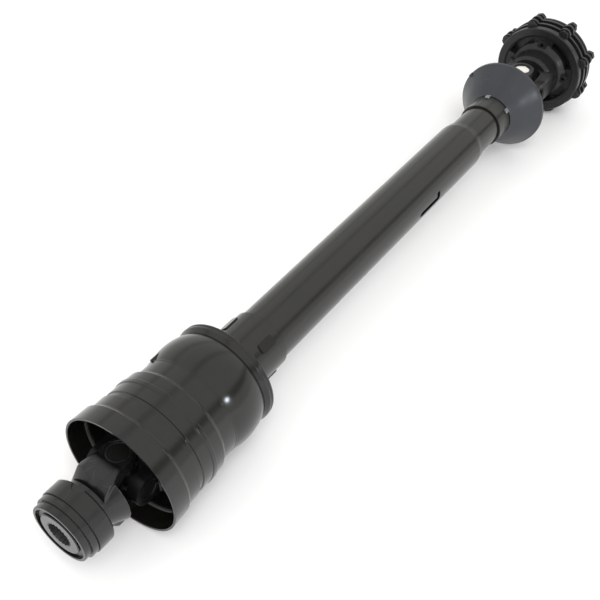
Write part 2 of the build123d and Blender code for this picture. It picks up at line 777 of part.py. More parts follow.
with BuildPart() as outer_guard_tube:
    neck_x = guard_tube_end - guard_neck_length
    bore = guard_tube_radius - guard_wall
    neck_bore = inner_guard_radius + sliding_gap
    add(turned([
        (tube_seat_x + seat_gap, bore), (tube_seat_x + seat_gap, guard_tube_radius),
        (neck_x, guard_tube_radius),
        (neck_x + 5, guard_tube_radius - 0.6), (neck_x + 10, guard_neck_radius + 0.4),
        (guard_tube_end, guard_neck_radius), (guard_tube_end, neck_bore), (neck_x + 9, neck_bore),
        (neck_x, bore),
    ]))
    with BuildSketch(pin_plane((slot_start + slot_end) / 2, slot_angle, bore - 4)):
        SlotOverall(slot_end - slot_start, slot_width)
        with Locations(((slot_end - slot_start - slot_width) / 2, slot_hook / 2)):
            SlotOverall(slot_hook + slot_width, slot_width, rotation=90)
    extrude(amount=guard_wall + 8, mode=Mode.SUBTRACT)
keep(outer_guard_tube.part, "outer_guard_tube")

# ================= rear half of the telescoping shaft =================

keep(lobed_tube(outer_tube_start, rear_hub_start + socket_depth - 1, outer_profile_lobe, rear_pin_x),
     "outer_profile_tube")

with BuildPart() as rear_shaft_yoke:
    rear_throat_x = rear_cross_x - single_throat
    add(fork_blank(rear_cross_x, 90, 1, single_throat, single_root))
    add(turned([(rear_hub_start, 0), (rear_hub_start, rear_hub_radius - 2),
                (rear_hub_start + 2, rear_hub_radius), (rear_cross_x - single_root - 8, rear_hub_radius),
                (rear_cross_x - single_root, rear_hub_radius + 2),
                (rear_throat_x, fork_envelope - 7), (rear_throat_x, 0)]))
    add(lobed_bar(rear_hub_start - 1, rear_hub_start + socket_depth, outer_profile_lobe + press_gap),
        mode=Mode.SUBTRACT)
    add(bearing_groove(rear_bearing_x, rear_hub_radius), mode=Mode.SUBTRACT)
    with BuildSketch(pin_plane(rear_pin_x, 0)):
        Circle(tube_pin_radius + press_gap)
    extrude(amount=rear_hub_radius + 1, both=True, mode=Mode.SUBTRACT)
keep(rear_shaft_yoke.part, "rear_shaft_yoke")
keep(tube_pin(rear_pin_x, rear_hub_radius), "rear_tube_pin")
keep(bearing_cups([rear_cross_x], 90), "rear_yoke_bearing_cups")
keep(cup_rings([rear_cross_x], 90), "rear_yoke_cup_rings")

# ================= rear guard =================

neck_end = rear_bearing_x + bearing_width / 2 + 2
tube_stop = rear_hub_start - 4
keep(sleeve(inner_guard_start, tube_stop - 1, inner_guard_radius - guard_wall, inner_guard_radius),
     "inner_guard_tube")

rear_seat = inner_guard_radius + 2.1
with BuildPart() as guard_cone:
    add(turned([
        (cone_neck_start, inner_guard_radius + seat_gap), (cone_neck_start, cone_neck_radius - 1),
        (cone_neck_start + 1, cone_neck_radius), (neck_end - 6, cone_neck_radius),
        (neck_end - 6, cone_neck_radius - 0.9), (neck_end - 3, cone_neck_radius - 0.9),
        (neck_end - 3, cone_neck_radius + 0.6), (neck_end, cone_neck_radius + 2.6),
        (neck_end + 14, cone_neck_radius + 17), (cone_rim_x - 5, cone_rim_radius - 3.4),
        (cone_rim_x - 2, cone_rim_radius - 0.4), (cone_rim_x, cone_rim_radius),
        (cone_rim_x + 3, cone_rim_radius), (cone_rim_x + 3, cone_rim_radius - cone_wall),
        (cone_rim_x, cone_rim_radius - cone_wall - 1), (neck_end + 17, cone_neck_radius + 15),
        (neck_end + 3, rear_seat + 1), (neck_end, rear_seat), (tube_stop, rear_seat),
        (tube_stop, inner_guard_radius + seat_gap),
    ]))
    with BuildSketch(fork_plane(0, guard_lug_angle)):
        with Locations((cone_rim_x - 3, cone_rim_radius - 3)):
            Rectangle(6, 7)
            Circle(guard_lug_hole, mode=Mode.SUBTRACT)
    extrude(amount=3, both=True)
keep(guard_cone.part, "guard_cone")
keep(guard_bearing(rear_bearing_x, rear_hub_radius, rear_seat), "rear_guard_bearing")

with BuildPart() as cone_clips:
    for index in range(clip_count):
        clip_angle = clip_first_angle + clip_spacing * index
        with BuildSketch(pin_plane(neck_end - 9, clip_angle, cone_neck_radius + seat_gap)):
            RectangleRounded(9, 8, 1.5)
        extrude(amount=3)
keep(cone_clips.part, "cone_clips")

# ================= rear universal joint =================

keep(cross_body(rear_cross_x), "rear_cross")
keep(cross_seals(rear_cross_x), "rear_cross_seals")
keep(cross_nipple(rear_cross_x), "rear_cross_nipple")
keep(bearing_cups([rear_cross_x], 0), "clutch_yoke_bearing_cups")
keep(cup_rings([rear_cross_x], 0), "clutch_yoke_cup_rings")

# ================= friction clutch =================

friction_face_x = friction_flange_x + friction_flange_thickness
front_disc_x = friction_face_x + seat_gap
drive_plate_x = front_disc_x + friction_disc_thickness + seat_gap
rear_disc_x = drive_plate_x + drive_plate_thickness + seat_gap
pressure_plate_x = rear_disc_x + friction_disc_thickness + seat_gap
disc_spring_x = pressure_plate_x + pressure_plate_thickness + seat_gap
nut_x = disc_spring_x + disc_spring_rise + disc_spring_thickness + seat_gap
cavity_start = clutch_throat_x + 12
pilot_start = cavity_start + 8
hub_pilot_radius = clutch_hub_radius
bushing_start = pilot_start + 2
bushing_end = clutch_face_x + clutch_ring_width


with BuildPart() as clutch_yoke:
    add(fork_blank(rear_cross_x, 0, -1, single_throat, single_root))
    add(turned([
        (clutch_throat_x, 0), (clutch_throat_x, boss_radius - 5), (clutch_throat_x + 5, boss_radius),
        (clutch_face_x - 10, boss_radius), (clutch_face_x - 4, boss_radius + 3),
        (clutch_face_x + 3, boss_radius + 10), (clutch_face_x + 3, window_outer_radius),
        (clutch_face_x, clutch_ring_radius - 12), (clutch_face_x, clutch_ring_radius - 1.5),
        (clutch_face_x + 1.5, clutch_ring_radius), (clutch_face_x + clutch_ring_width, clutch_ring_radius),
        (clutch_face_x + clutch_ring_width, clutch_groove_radius), (friction_flange_x, clutch_groove_radius),
        (friction_flange_x, friction_flange_radius), (friction_face_x, friction_flange_radius),
        (friction_face_x, friction_disc_bore_radius - 2), (clutch_face_x + 10, friction_disc_bore_radius - 2),
        (bushing_end, boss_cavity_radius), (cavity_start, boss_cavity_radius), (cavity_start, 0),
    ]))
    with BuildSketch(Plane.YZ.offset(clutch_face_x - 2)):
        for index in range(window_count):
            first_angle = 45 + 90 * index - window_half_angle
            with BuildLine():
                inner_arc = CenterArc((0, 0), window_inner_radius, first_angle, 2 * window_half_angle)
                outer_arc = CenterArc((0, 0), window_outer_radius, first_angle, 2 * window_half_angle)
                Line(inner_arc @ 0, outer_arc @ 0)
                Line(inner_arc @ 1, outer_arc @ 1)
            make_face()
    extrude(amount=friction_face_x - clutch_face_x - 2, mode=Mode.SUBTRACT)
    for index in range(window_count):
        arm_angle = 90 * index
        arm_centre = radial(arm_angle) * arm_hole_circle_radius
        with BuildSketch(Plane(origin=(clutch_face_x - 3, arm_centre.Y, arm_centre.Z), z_dir=(1, 0, 0))):
            Circle(arm_hole_radius + 5)
        extrude(amount=8)
        with BuildSketch(Plane(origin=(clutch_face_x - 3, arm_centre.Y, arm_centre.Z), z_dir=(1, 0, 0))):
            Circle(arm_hole_radius)
        extrude(amount=8, mode=Mode.SUBTRACT)
    with BuildSketch(Plane.YZ.offset(friction_flange_x)):
        with PolarLocations(clutch_bolt_circle_radius, clutch_bolt_count, start_angle=clutch_bolt_phase):
            Circle(bolt_ear_radius)
    extrude(amount=friction_flange_thickness)
    with BuildSketch(Plane.YZ.offset(friction_flange_x - 1)):
        with PolarLocations(clutch_bolt_circle_radius, clutch_bolt_count, start_angle=clutch_bolt_phase):
            Circle(clutch_bolt_radius + seat_gap)
    extrude(amount=friction_flange_thickness + 2, mode=Mode.SUBTRACT)
keep(clutch_yoke.part, "clutch_yoke")

bushing_bore = hub_pilot_radius + running_gap
keep(sleeve(bushing_start, bushing_end, bushing_bore, boss_cavity_radius - press_gap), "clutch_bushing")
keep(sleeve(front_disc_x, front_disc_x + friction_disc_thickness, friction_disc_bore_radius,
            friction_disc_radius), "front_friction_disc")
keep(sleeve(rear_disc_x, rear_disc_x + friction_disc_thickness, friction_disc_bore_radius,
            friction_disc_radius), "rear_friction_disc")

drive_bore = hub_flange_radius - 5
drive_spline = hub_flange_radius


def hub_splines(start, length, grow):
    """External drive splines of the clutch hub, or their cutter when grown by a gap."""
    with BuildPart() as bar:
        with BuildSketch(Plane.YZ.offset(start)):
            Circle(drive_bore + grow)
            with PolarLocations((drive_bore + drive_spline) / 2 - 1, drive_tooth_count):
                Rectangle(drive_spline - drive_bore + 2 + 2 * grow, drive_tooth_width + 2 * grow)
        extrude(amount=length)
    return bar.part


with BuildPart() as clutch_drive_plate:
    add(sleeve(drive_plate_x, drive_plate_x + drive_plate_thickness, 1, friction_disc_radius))
    add(hub_splines(drive_plate_x - 1, drive_plate_thickness + 2, spline_gap), mode=Mode.SUBTRACT)
keep(clutch_drive_plate.part, "clutch_drive_plate")

hub_tooth_tip = 2 * pi * hub_bore_radius / hub_spline_count - hub_groove_width
hub_tooth_root = 2 * pi * (hub_spline_major_radius + 1) / hub_spline_count - hub_groove_width

with BuildPart() as clutch_hub:
    add(turned([
        (bushing_start + 1, 0), (bushing_start + 1, hub_pilot_radius - 1),
        (bushing_start + 2, hub_pilot_radius),
        (bushing_end + 1.5, hub_pilot_radius), (front_disc_x - 2, hub_pilot_radius + 2),
        (rear_disc_x + 3, hub_pilot_radius + 2), (clutch_hub_end - 30, clutch_hub_radius + 2),
        (clutch_hub_end - 2, clutch_hub_radius + 2), (clutch_hub_end, clutch_hub_radius), (clutch_hub_end, 0),
    ]))
    add(hub_splines(drive_plate_x - 1, drive_plate_thickness + 2, 0))
    add(spline_cutter(bushing_start, clutch_hub_end - bushing_start + 1, hub_spline_count, hub_bore_radius,
                      hub_spline_major_radius, hub_tooth_tip, hub_tooth_root), mode=Mode.SUBTRACT)
    clamp_plane = Plane(origin=(clutch_hub_end - 18, hub_spline_major_radius + 4, 0), z_dir=(0, 0, 1))
    with BuildSketch(clamp_plane):
        Circle(clamp_bolt_radius + seat_gap)
    extrude(amount=clutch_hub_radius + 6, both=True, mode=Mode.SUBTRACT)
    with BuildSketch(clamp_plane.offset(clamp_seat - seat_gap)):
        Circle(clamp_head_radius + 1)
    extrude(amount=clutch_hub_radius, mode=Mode.SUBTRACT)
keep(clutch_hub.part, "clutch_hub")

with BuildPart() as hub_clamp_bolt:
    with BuildSketch(clamp_plane.offset(-clamp_seat)):
        Circle(clamp_bolt_radius)
    extrude(amount=2 * clamp_seat)
    with BuildSketch(clamp_plane.offset(clamp_seat)):
        RegularPolygon(clamp_head_radius, 6)
    extrude(amount=7)
keep(hub_clamp_bolt.part, "hub_clamp_bolt")

with BuildPart() as pressure_plate:
    add(sleeve(pressure_plate_x, pressure_plate_x + pressure_plate_thickness, friction_disc_bore_radius - 2,
               pressure_plate_radius))
    with BuildSketch(Plane.YZ.offset(pressure_plate_x)):
        with PolarLocations(clutch_bolt_circle_radius, clutch_bolt_count, start_angle=clutch_bolt_phase):
            Circle(bolt_ear_radius)
    extrude(amount=pressure_plate_thickness)
    with BuildSketch(Plane.YZ.offset(pressure_plate_x - 1)):
        with PolarLocations(clutch_bolt_circle_radius, clutch_bolt_count, start_angle=clutch_bolt_phase):
            Circle(clutch_bolt_radius + loose_gap)
    extrude(amount=pressure_plate_thickness + 2, mode=Mode.SUBTRACT)
keep(pressure_plate.part, "pressure_plate")

with BuildPart() as disc_spring:
    spring_rim = pressure_plate_radius - 1
    add(turned([
        (disc_spring_x, disc_spring_bore_radius + 3), (disc_spring_x, disc_spring_bore_radius + 6),
        (disc_spring_x + disc_spring_rise, spring_rim), (disc_spring_x + disc_spring_rise + 4, spring_rim),
        (disc_spring_x + disc_spring_thickness, disc_spring_bore_radius + 3),
    ]))
    with BuildSketch(Plane.YZ.offset(disc_spring_x)):
        with PolarLocations(clutch_bolt_circle_radius, clutch_bolt_count, start_angle=clutch_bolt_phase):
            Circle(clutch_bolt_radius + loose_gap)
    extrude(amount=disc_spring_rise + 6, mode=Mode.SUBTRACT)
keep(disc_spring.part, "disc_spring")

bolt_end = nut_x + clutch_nut_height + 2
with BuildPart() as clutch_bolts:
    with BuildSketch(Plane.YZ.offset(friction_flange_x - seat_gap)):
        with PolarLocations(clutch_bolt_circle_radius, clutch_bolt_count, start_angle=clutch_bolt_phase):
            RegularPolygon(clutch_bolt_head_width / 2, 6, major_radius=False)
    extrude(amount=-clutch_bolt_head_height)
    with BuildSketch(Plane.YZ.offset(friction_flange_x - seat_gap)):
        with PolarLocations(clutch_bolt_circle_radius, clutch_bolt_count, start_angle=clutch_bolt_phase):
            Circle(clutch_bolt_radius)
    extrude(amount=bolt_end - friction_flange_x)
keep(clutch_bolts.part, "clutch_bolts")

with BuildPart() as clutch_nuts:
    with BuildSketch(Plane.YZ.offset(nut_x)):
        with PolarLocations(clutch_bolt_circle_radius, clutch_bolt_count, start_angle=clutch_bolt_phase):
            RegularPolygon(clutch_bolt_head_width / 2, 6, major_radius=False)
        with PolarLocations(clutch_bolt_circle_radius, clutch_bolt_count, start_angle=clutch_bolt_phase):
            Circle(clutch_bolt_radius + press_gap, mode=Mode.SUBTRACT)
    extrude(amount=clutch_nut_height)
keep(clutch_nuts.part, "clutch_nuts")
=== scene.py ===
"""Looks of a guarded agricultural drive shaft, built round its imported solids.

The shaft lies along X. Its tractor hub is at the origin, and its friction clutch is at the far end.
"""

import json
import logging
import math
from dataclasses import dataclass
from enum import Enum

import bmesh
import bpy
from mathutils import Matrix, Vector


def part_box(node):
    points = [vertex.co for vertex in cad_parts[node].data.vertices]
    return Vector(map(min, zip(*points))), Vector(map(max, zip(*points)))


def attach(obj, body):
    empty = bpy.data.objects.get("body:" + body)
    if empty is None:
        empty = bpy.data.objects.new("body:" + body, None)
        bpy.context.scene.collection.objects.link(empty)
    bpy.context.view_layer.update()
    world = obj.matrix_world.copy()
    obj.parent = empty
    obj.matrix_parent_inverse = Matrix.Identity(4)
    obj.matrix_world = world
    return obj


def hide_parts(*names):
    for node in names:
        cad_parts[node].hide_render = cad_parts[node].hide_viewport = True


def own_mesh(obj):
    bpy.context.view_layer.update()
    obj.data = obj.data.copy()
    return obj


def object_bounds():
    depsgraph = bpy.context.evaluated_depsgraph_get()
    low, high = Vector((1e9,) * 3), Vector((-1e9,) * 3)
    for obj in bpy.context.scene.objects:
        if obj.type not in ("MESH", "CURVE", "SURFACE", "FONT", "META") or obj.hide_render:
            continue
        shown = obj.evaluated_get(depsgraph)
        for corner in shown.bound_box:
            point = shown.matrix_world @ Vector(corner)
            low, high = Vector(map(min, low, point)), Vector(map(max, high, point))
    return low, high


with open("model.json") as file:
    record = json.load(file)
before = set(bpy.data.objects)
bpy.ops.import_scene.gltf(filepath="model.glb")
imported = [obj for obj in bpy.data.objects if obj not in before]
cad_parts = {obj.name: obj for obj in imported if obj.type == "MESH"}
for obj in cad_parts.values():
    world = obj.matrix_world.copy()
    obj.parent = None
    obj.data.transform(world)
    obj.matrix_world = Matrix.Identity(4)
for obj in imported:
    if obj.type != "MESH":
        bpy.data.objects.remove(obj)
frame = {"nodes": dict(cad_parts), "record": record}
CAD_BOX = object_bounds()

LOG = logging.getLogger("drive_shaft")
MM = 0.001
MERGE_DISTANCE = 2e-6  # metres: points closer than this in the CAD's triangles are one point
FLAT_ANGLE = math.radians(0.4)  # triangles that turn less than this belong to one flat face
BEVEL_ANGLE = math.radians(32)  # edges that turn more than this are softened
FULL_TURN = 2 * math.pi
Point = tuple[float, float]
Colour = tuple[float, float, float]
Place = tuple[float, float, float]


class Slot(Enum):
    """Material slots of the record."""

    PAINT = "painted_steel"
    BRIGHT = "bright_steel"
    SPRING = "spring_steel"
    ZINC = "zinc_steel"
    TUBE = "tube_steel"
    BLACK = "black_plastic"
    GREY = "grey_plastic"
    NYLON = "white_nylon"
    RUBBER = "seal_rubber"
    LINING = "friction_lining"
    BRONZE = "bronze"


class Side(Enum):
    """Which end of the shaft a face looks to."""

    TRACTOR = -1
    IMPLEMENT = 1


# ---------------------------------------------------------------- shader groups


def feed(tree: bpy.types.NodeTree, socket: bpy.types.NodeSocket, value: object) -> None:
    """Link an output socket to an input socket, or set the input to a plain value.

    Args:
        tree: The node tree.
        socket: The input.
        value: A plain value or an output socket.
    """
    if isinstance(value, bpy.types.NodeSocket):
        tree.links.new(value, socket)
    else:
        socket.default_value = value


class ShaderGraph:
    """Adds and links nodes in one shader tree."""

    def __init__(self, tree: bpy.types.NodeTree) -> None:
        """Start with the tree to fill.

        Args:
            tree: A material's or a group's node tree.
        """
        self.tree = tree

    def add(
        self, kind: str, inputs: dict[str | int, object] | None = None, **settings: object
    ) -> bpy.types.Node:
        """Add a node.

        Args:
            kind: The node's type name.
            inputs: Socket names or indices, each with a value or with an output socket to link.
            settings: Properties of the node.

        Returns:
            The new node.
        """
        node = self.tree.nodes.new(kind)
        for name, value in settings.items():
            setattr(node, name, value)
        for name, value in (inputs or {}).items():
            feed(self.tree, node.inputs[name], value)
        return node

    def math(self, operation: str, first: object, second: object = 0.0) -> bpy.types.NodeSocket:
        """Add a Math node and return its result.

        Args:
            operation: The node's operation.
            first: A number or an output socket.
            second: A number or an output socket.

        Returns:
            The result's socket.
        """
        return self.add("ShaderNodeMath", {0: first, 1: second}, operation=operation).outputs[0]


def new_group(
    name: str, inputs: dict[str, float], outputs: tuple[str, ...]
) -> tuple[ShaderGraph, dict[str, bpy.types.NodeSocket], bpy.types.Node]:
    """Start a shader node group whose sockets are all plain numbers.

    Args:
        name: The group's name.
        inputs: Input name to its default value.
        outputs: Names of the outputs.

    Returns:
        The graph, the group's inputs by name, and its output node.
    """
    tree = bpy.data.node_groups.new(name, "ShaderNodeTree")
    kind = "NodeSocketFloat"
    for label, value in inputs.items():
        tree.interface.new_socket(name=label, in_out="INPUT", socket_type=kind).default_value = value
    for label in outputs:
        tree.interface.new_socket(name=label, in_out="OUTPUT", socket_type=kind)
    start = tree.nodes.new("NodeGroupInput")
    end = tree.nodes.new("NodeGroupOutput")
    return ShaderGraph(tree), {socket.name: socket for socket in start.outputs}, end


def grain_group() -> bpy.types.NodeTree:
    """Build the fine surface grain that runs along or round the shaft.

    Returns:
        A group with a Height and a slow Patches value.
    """
    graph, given, end = new_group(
        "surface_grain",
        {"Scale": 900.0, "Along": 1.0, "Across": 1.0, "Patch Scale": 22.0},
        ("Height", "Patches"),
    )
    place = graph.add("ShaderNodeTexCoord").outputs["Object"]
    across = given["Across"]
    stretch = graph.add("ShaderNodeCombineXYZ", {"X": given["Along"], "Y": across, "Z": across})
    scaled = graph.add("ShaderNodeVectorMath", {0: place, 1: stretch.outputs[0]}, operation="MULTIPLY")
    fine = graph.add(
        "ShaderNodeTexNoise",
        {"Vector": scaled.outputs[0], "Scale": given["Scale"], "Detail": 3.0, "Roughness": 0.55},
    )
    slow = graph.add(
        "ShaderNodeTexNoise",
        {"Vector": place, "Scale": given["Patch Scale"], "Detail": 5.0, "Roughness": 0.6},
    )
    graph.tree.links.new(fine.outputs["Fac"], end.inputs["Height"])
    graph.tree.links.new(slow.outputs["Fac"], end.inputs["Patches"])
    return graph.tree


def scratch_group() -> bpy.types.NodeTree:
    """Build thin handling scratches.

    Returns:
        A group with a Mask that is one on a scratch.
    """
    graph, given, end = new_group(
        "handling_scratches", {"Scale": 24.0, "Width": 0.012, "Amount": 0.5}, ("Mask",)
    )
    place = graph.add("ShaderNodeTexCoord").outputs["Object"]
    bend = graph.add("ShaderNodeTexNoise", {"Vector": place, "Scale": 9.0, "Detail": 2.0})
    offset = graph.add(
        "ShaderNodeVectorMath", {0: bend.outputs["Color"], "Scale": 0.09}, operation="SCALE"
    )
    moved = graph.add("ShaderNodeVectorMath", {0: place, 1: offset.outputs[0]}, operation="ADD")
    cells = graph.add(
        "ShaderNodeTexVoronoi",
        {"Vector": moved.outputs[0], "Scale": given["Scale"]},
        feature="DISTANCE_TO_EDGE",
    )
    line = graph.math("LESS_THAN", cells.outputs["Distance"], given["Width"])
    breaks = graph.add("ShaderNodeTexNoise", {"Vector": place, "Scale": 60.0, "Detail": 4.0})
    kept = graph.math("GREATER_THAN", breaks.outputs["Fac"], 0.58)
    mask = graph.math("MULTIPLY", graph.math("MULTIPLY", line, kept), given["Amount"])
    graph.tree.links.new(mask, end.inputs["Mask"])
    return graph.tree


def dust_group() -> bpy.types.NodeTree:
    """Build the thin dust that lies on upward faces.

    Returns:
        A group with a Mask from zero to Amount.
    """
    graph, given, end = new_group("settled_dust", {"Amount": 0.1, "Scale": 160.0}, ("Mask",))
    coordinates = graph.add("ShaderNodeTexCoord")
    height = graph.add("ShaderNodeSeparateXYZ", {0: coordinates.outputs["Normal"]}).outputs["Z"]
    upward = graph.math("MAXIMUM", height, 0.0)
    specks = graph.add(
        "ShaderNodeTexNoise",
        {"Vector": coordinates.outputs["Object"], "Scale": given["Scale"], "Detail": 8.0, "Roughness": 0.72},
    )
    sharp = graph.add(
        "ShaderNodeMapRange",
        {"Value": specks.outputs["Fac"], "From Min": 0.45, "From Max": 0.75},
    ).outputs["Result"]
    mask = graph.math("MULTIPLY", graph.math("MULTIPLY", upward, sharp), given["Amount"])
    graph.tree.links.new(mask, end.inputs["Mask"])
    return graph.tree


GRAIN = grain_group()
SCRATCHES = scratch_group()
DUST = dust_group()
DUST_COLOUR = (0.20, 0.18, 0.15, 1.0)
DUST_ROUGHNESS = 0.6  # how much rougher a fully dusted face is


@dataclass(frozen=True)
class Finish:
    """One surface finish and the record slot that it belongs to."""

    name: str
    slot: Slot
    colour: Colour
    second: Colour
    worn: Colour
    rough_low: float
    rough_high: float
    metallic: float = 0.0
    grain_scale: float = 900.0
    grain_along: float = 1.0
    grain_across: float = 1.0
    grain_depth: float = 0.00004
    bump: float = 0.25
    scratches: float = 0.35
    dust: float = 0.06
    specular: float = 0.5

    def build(self) -> bpy.types.Material:
        """Make the material.

        Returns:
            The material, with its colour, roughness and bump from nodes.
        """
        material = bpy.data.materials.new(self.name)
        material.use_nodes = True
        graph = ShaderGraph(material.node_tree)
        surface = next(node for node in graph.tree.nodes if node.type == "BSDF_PRINCIPLED")
        grain = graph.add("ShaderNodeGroup", node_tree=GRAIN)
        grain.inputs["Scale"].default_value = self.grain_scale
        grain.inputs["Along"].default_value = self.grain_along
        grain.inputs["Across"].default_value = self.grain_across
        scratch = graph.add("ShaderNodeGroup", node_tree=SCRATCHES)
        scratch.inputs["Amount"].default_value = self.scratches
        dust = graph.add("ShaderNodeGroup", node_tree=DUST)
        dust.inputs["Amount"].default_value = self.dust
        colour = self.mixed(graph, grain.outputs["Patches"], (*self.colour, 1.0), (*self.second, 1.0))
        colour = self.mixed(graph, scratch.outputs["Mask"], colour, (*self.worn, 1.0))
        colour = self.mixed(graph, dust.outputs["Mask"], colour, DUST_COLOUR)
        rough = graph.add(
            "ShaderNodeMapRange",
            {
                "Value": grain.outputs["Patches"],
                "From Min": 0.3,
                "From Max": 0.7,
                "To Min": self.rough_low,
                "To Max": self.rough_high,
            },
        ).outputs["Result"]
        rough = graph.math("ADD", rough, graph.math("MULTIPLY", dust.outputs["Mask"], DUST_ROUGHNESS))
        height = graph.math("SUBTRACT", grain.outputs["Height"], scratch.outputs["Mask"])
        bump = graph.add(
            "ShaderNodeBump", {"Height": height, "Strength": self.bump, "Distance": self.grain_depth}
        )
        graph.tree.links.new(colour, surface.inputs["Base Color"])
        graph.tree.links.new(rough, surface.inputs["Roughness"])
        graph.tree.links.new(bump.outputs["Normal"], surface.inputs["Normal"])
        surface.inputs["Metallic"].default_value = self.metallic
        surface.inputs["Specular IOR Level"].default_value = self.specular
        return material

    @staticmethod
    def mixed(
        graph: ShaderGraph, share: bpy.types.NodeSocket, first: object, second: object
    ) -> bpy.types.NodeSocket:
        """Mix two colours.

        Args:
            graph: The material's graph.
            share: A socket for how much of the second colour shows.
            first: A colour or a socket.
            second: A colour or a socket.

        Returns:
            The mixed colour's socket.
        """
        first_colour, second_colour, colour_result = 6, 7, 2  # the colour sockets' indices
        node = graph.add("ShaderNodeMix", data_type="RGBA")
        feed(graph.tree, node.inputs[0], share)
        feed(graph.tree, node.inputs[first_colour], first)
        feed(graph.tree, node.inputs[second_colour], second)
        return node.outputs[colour_result]


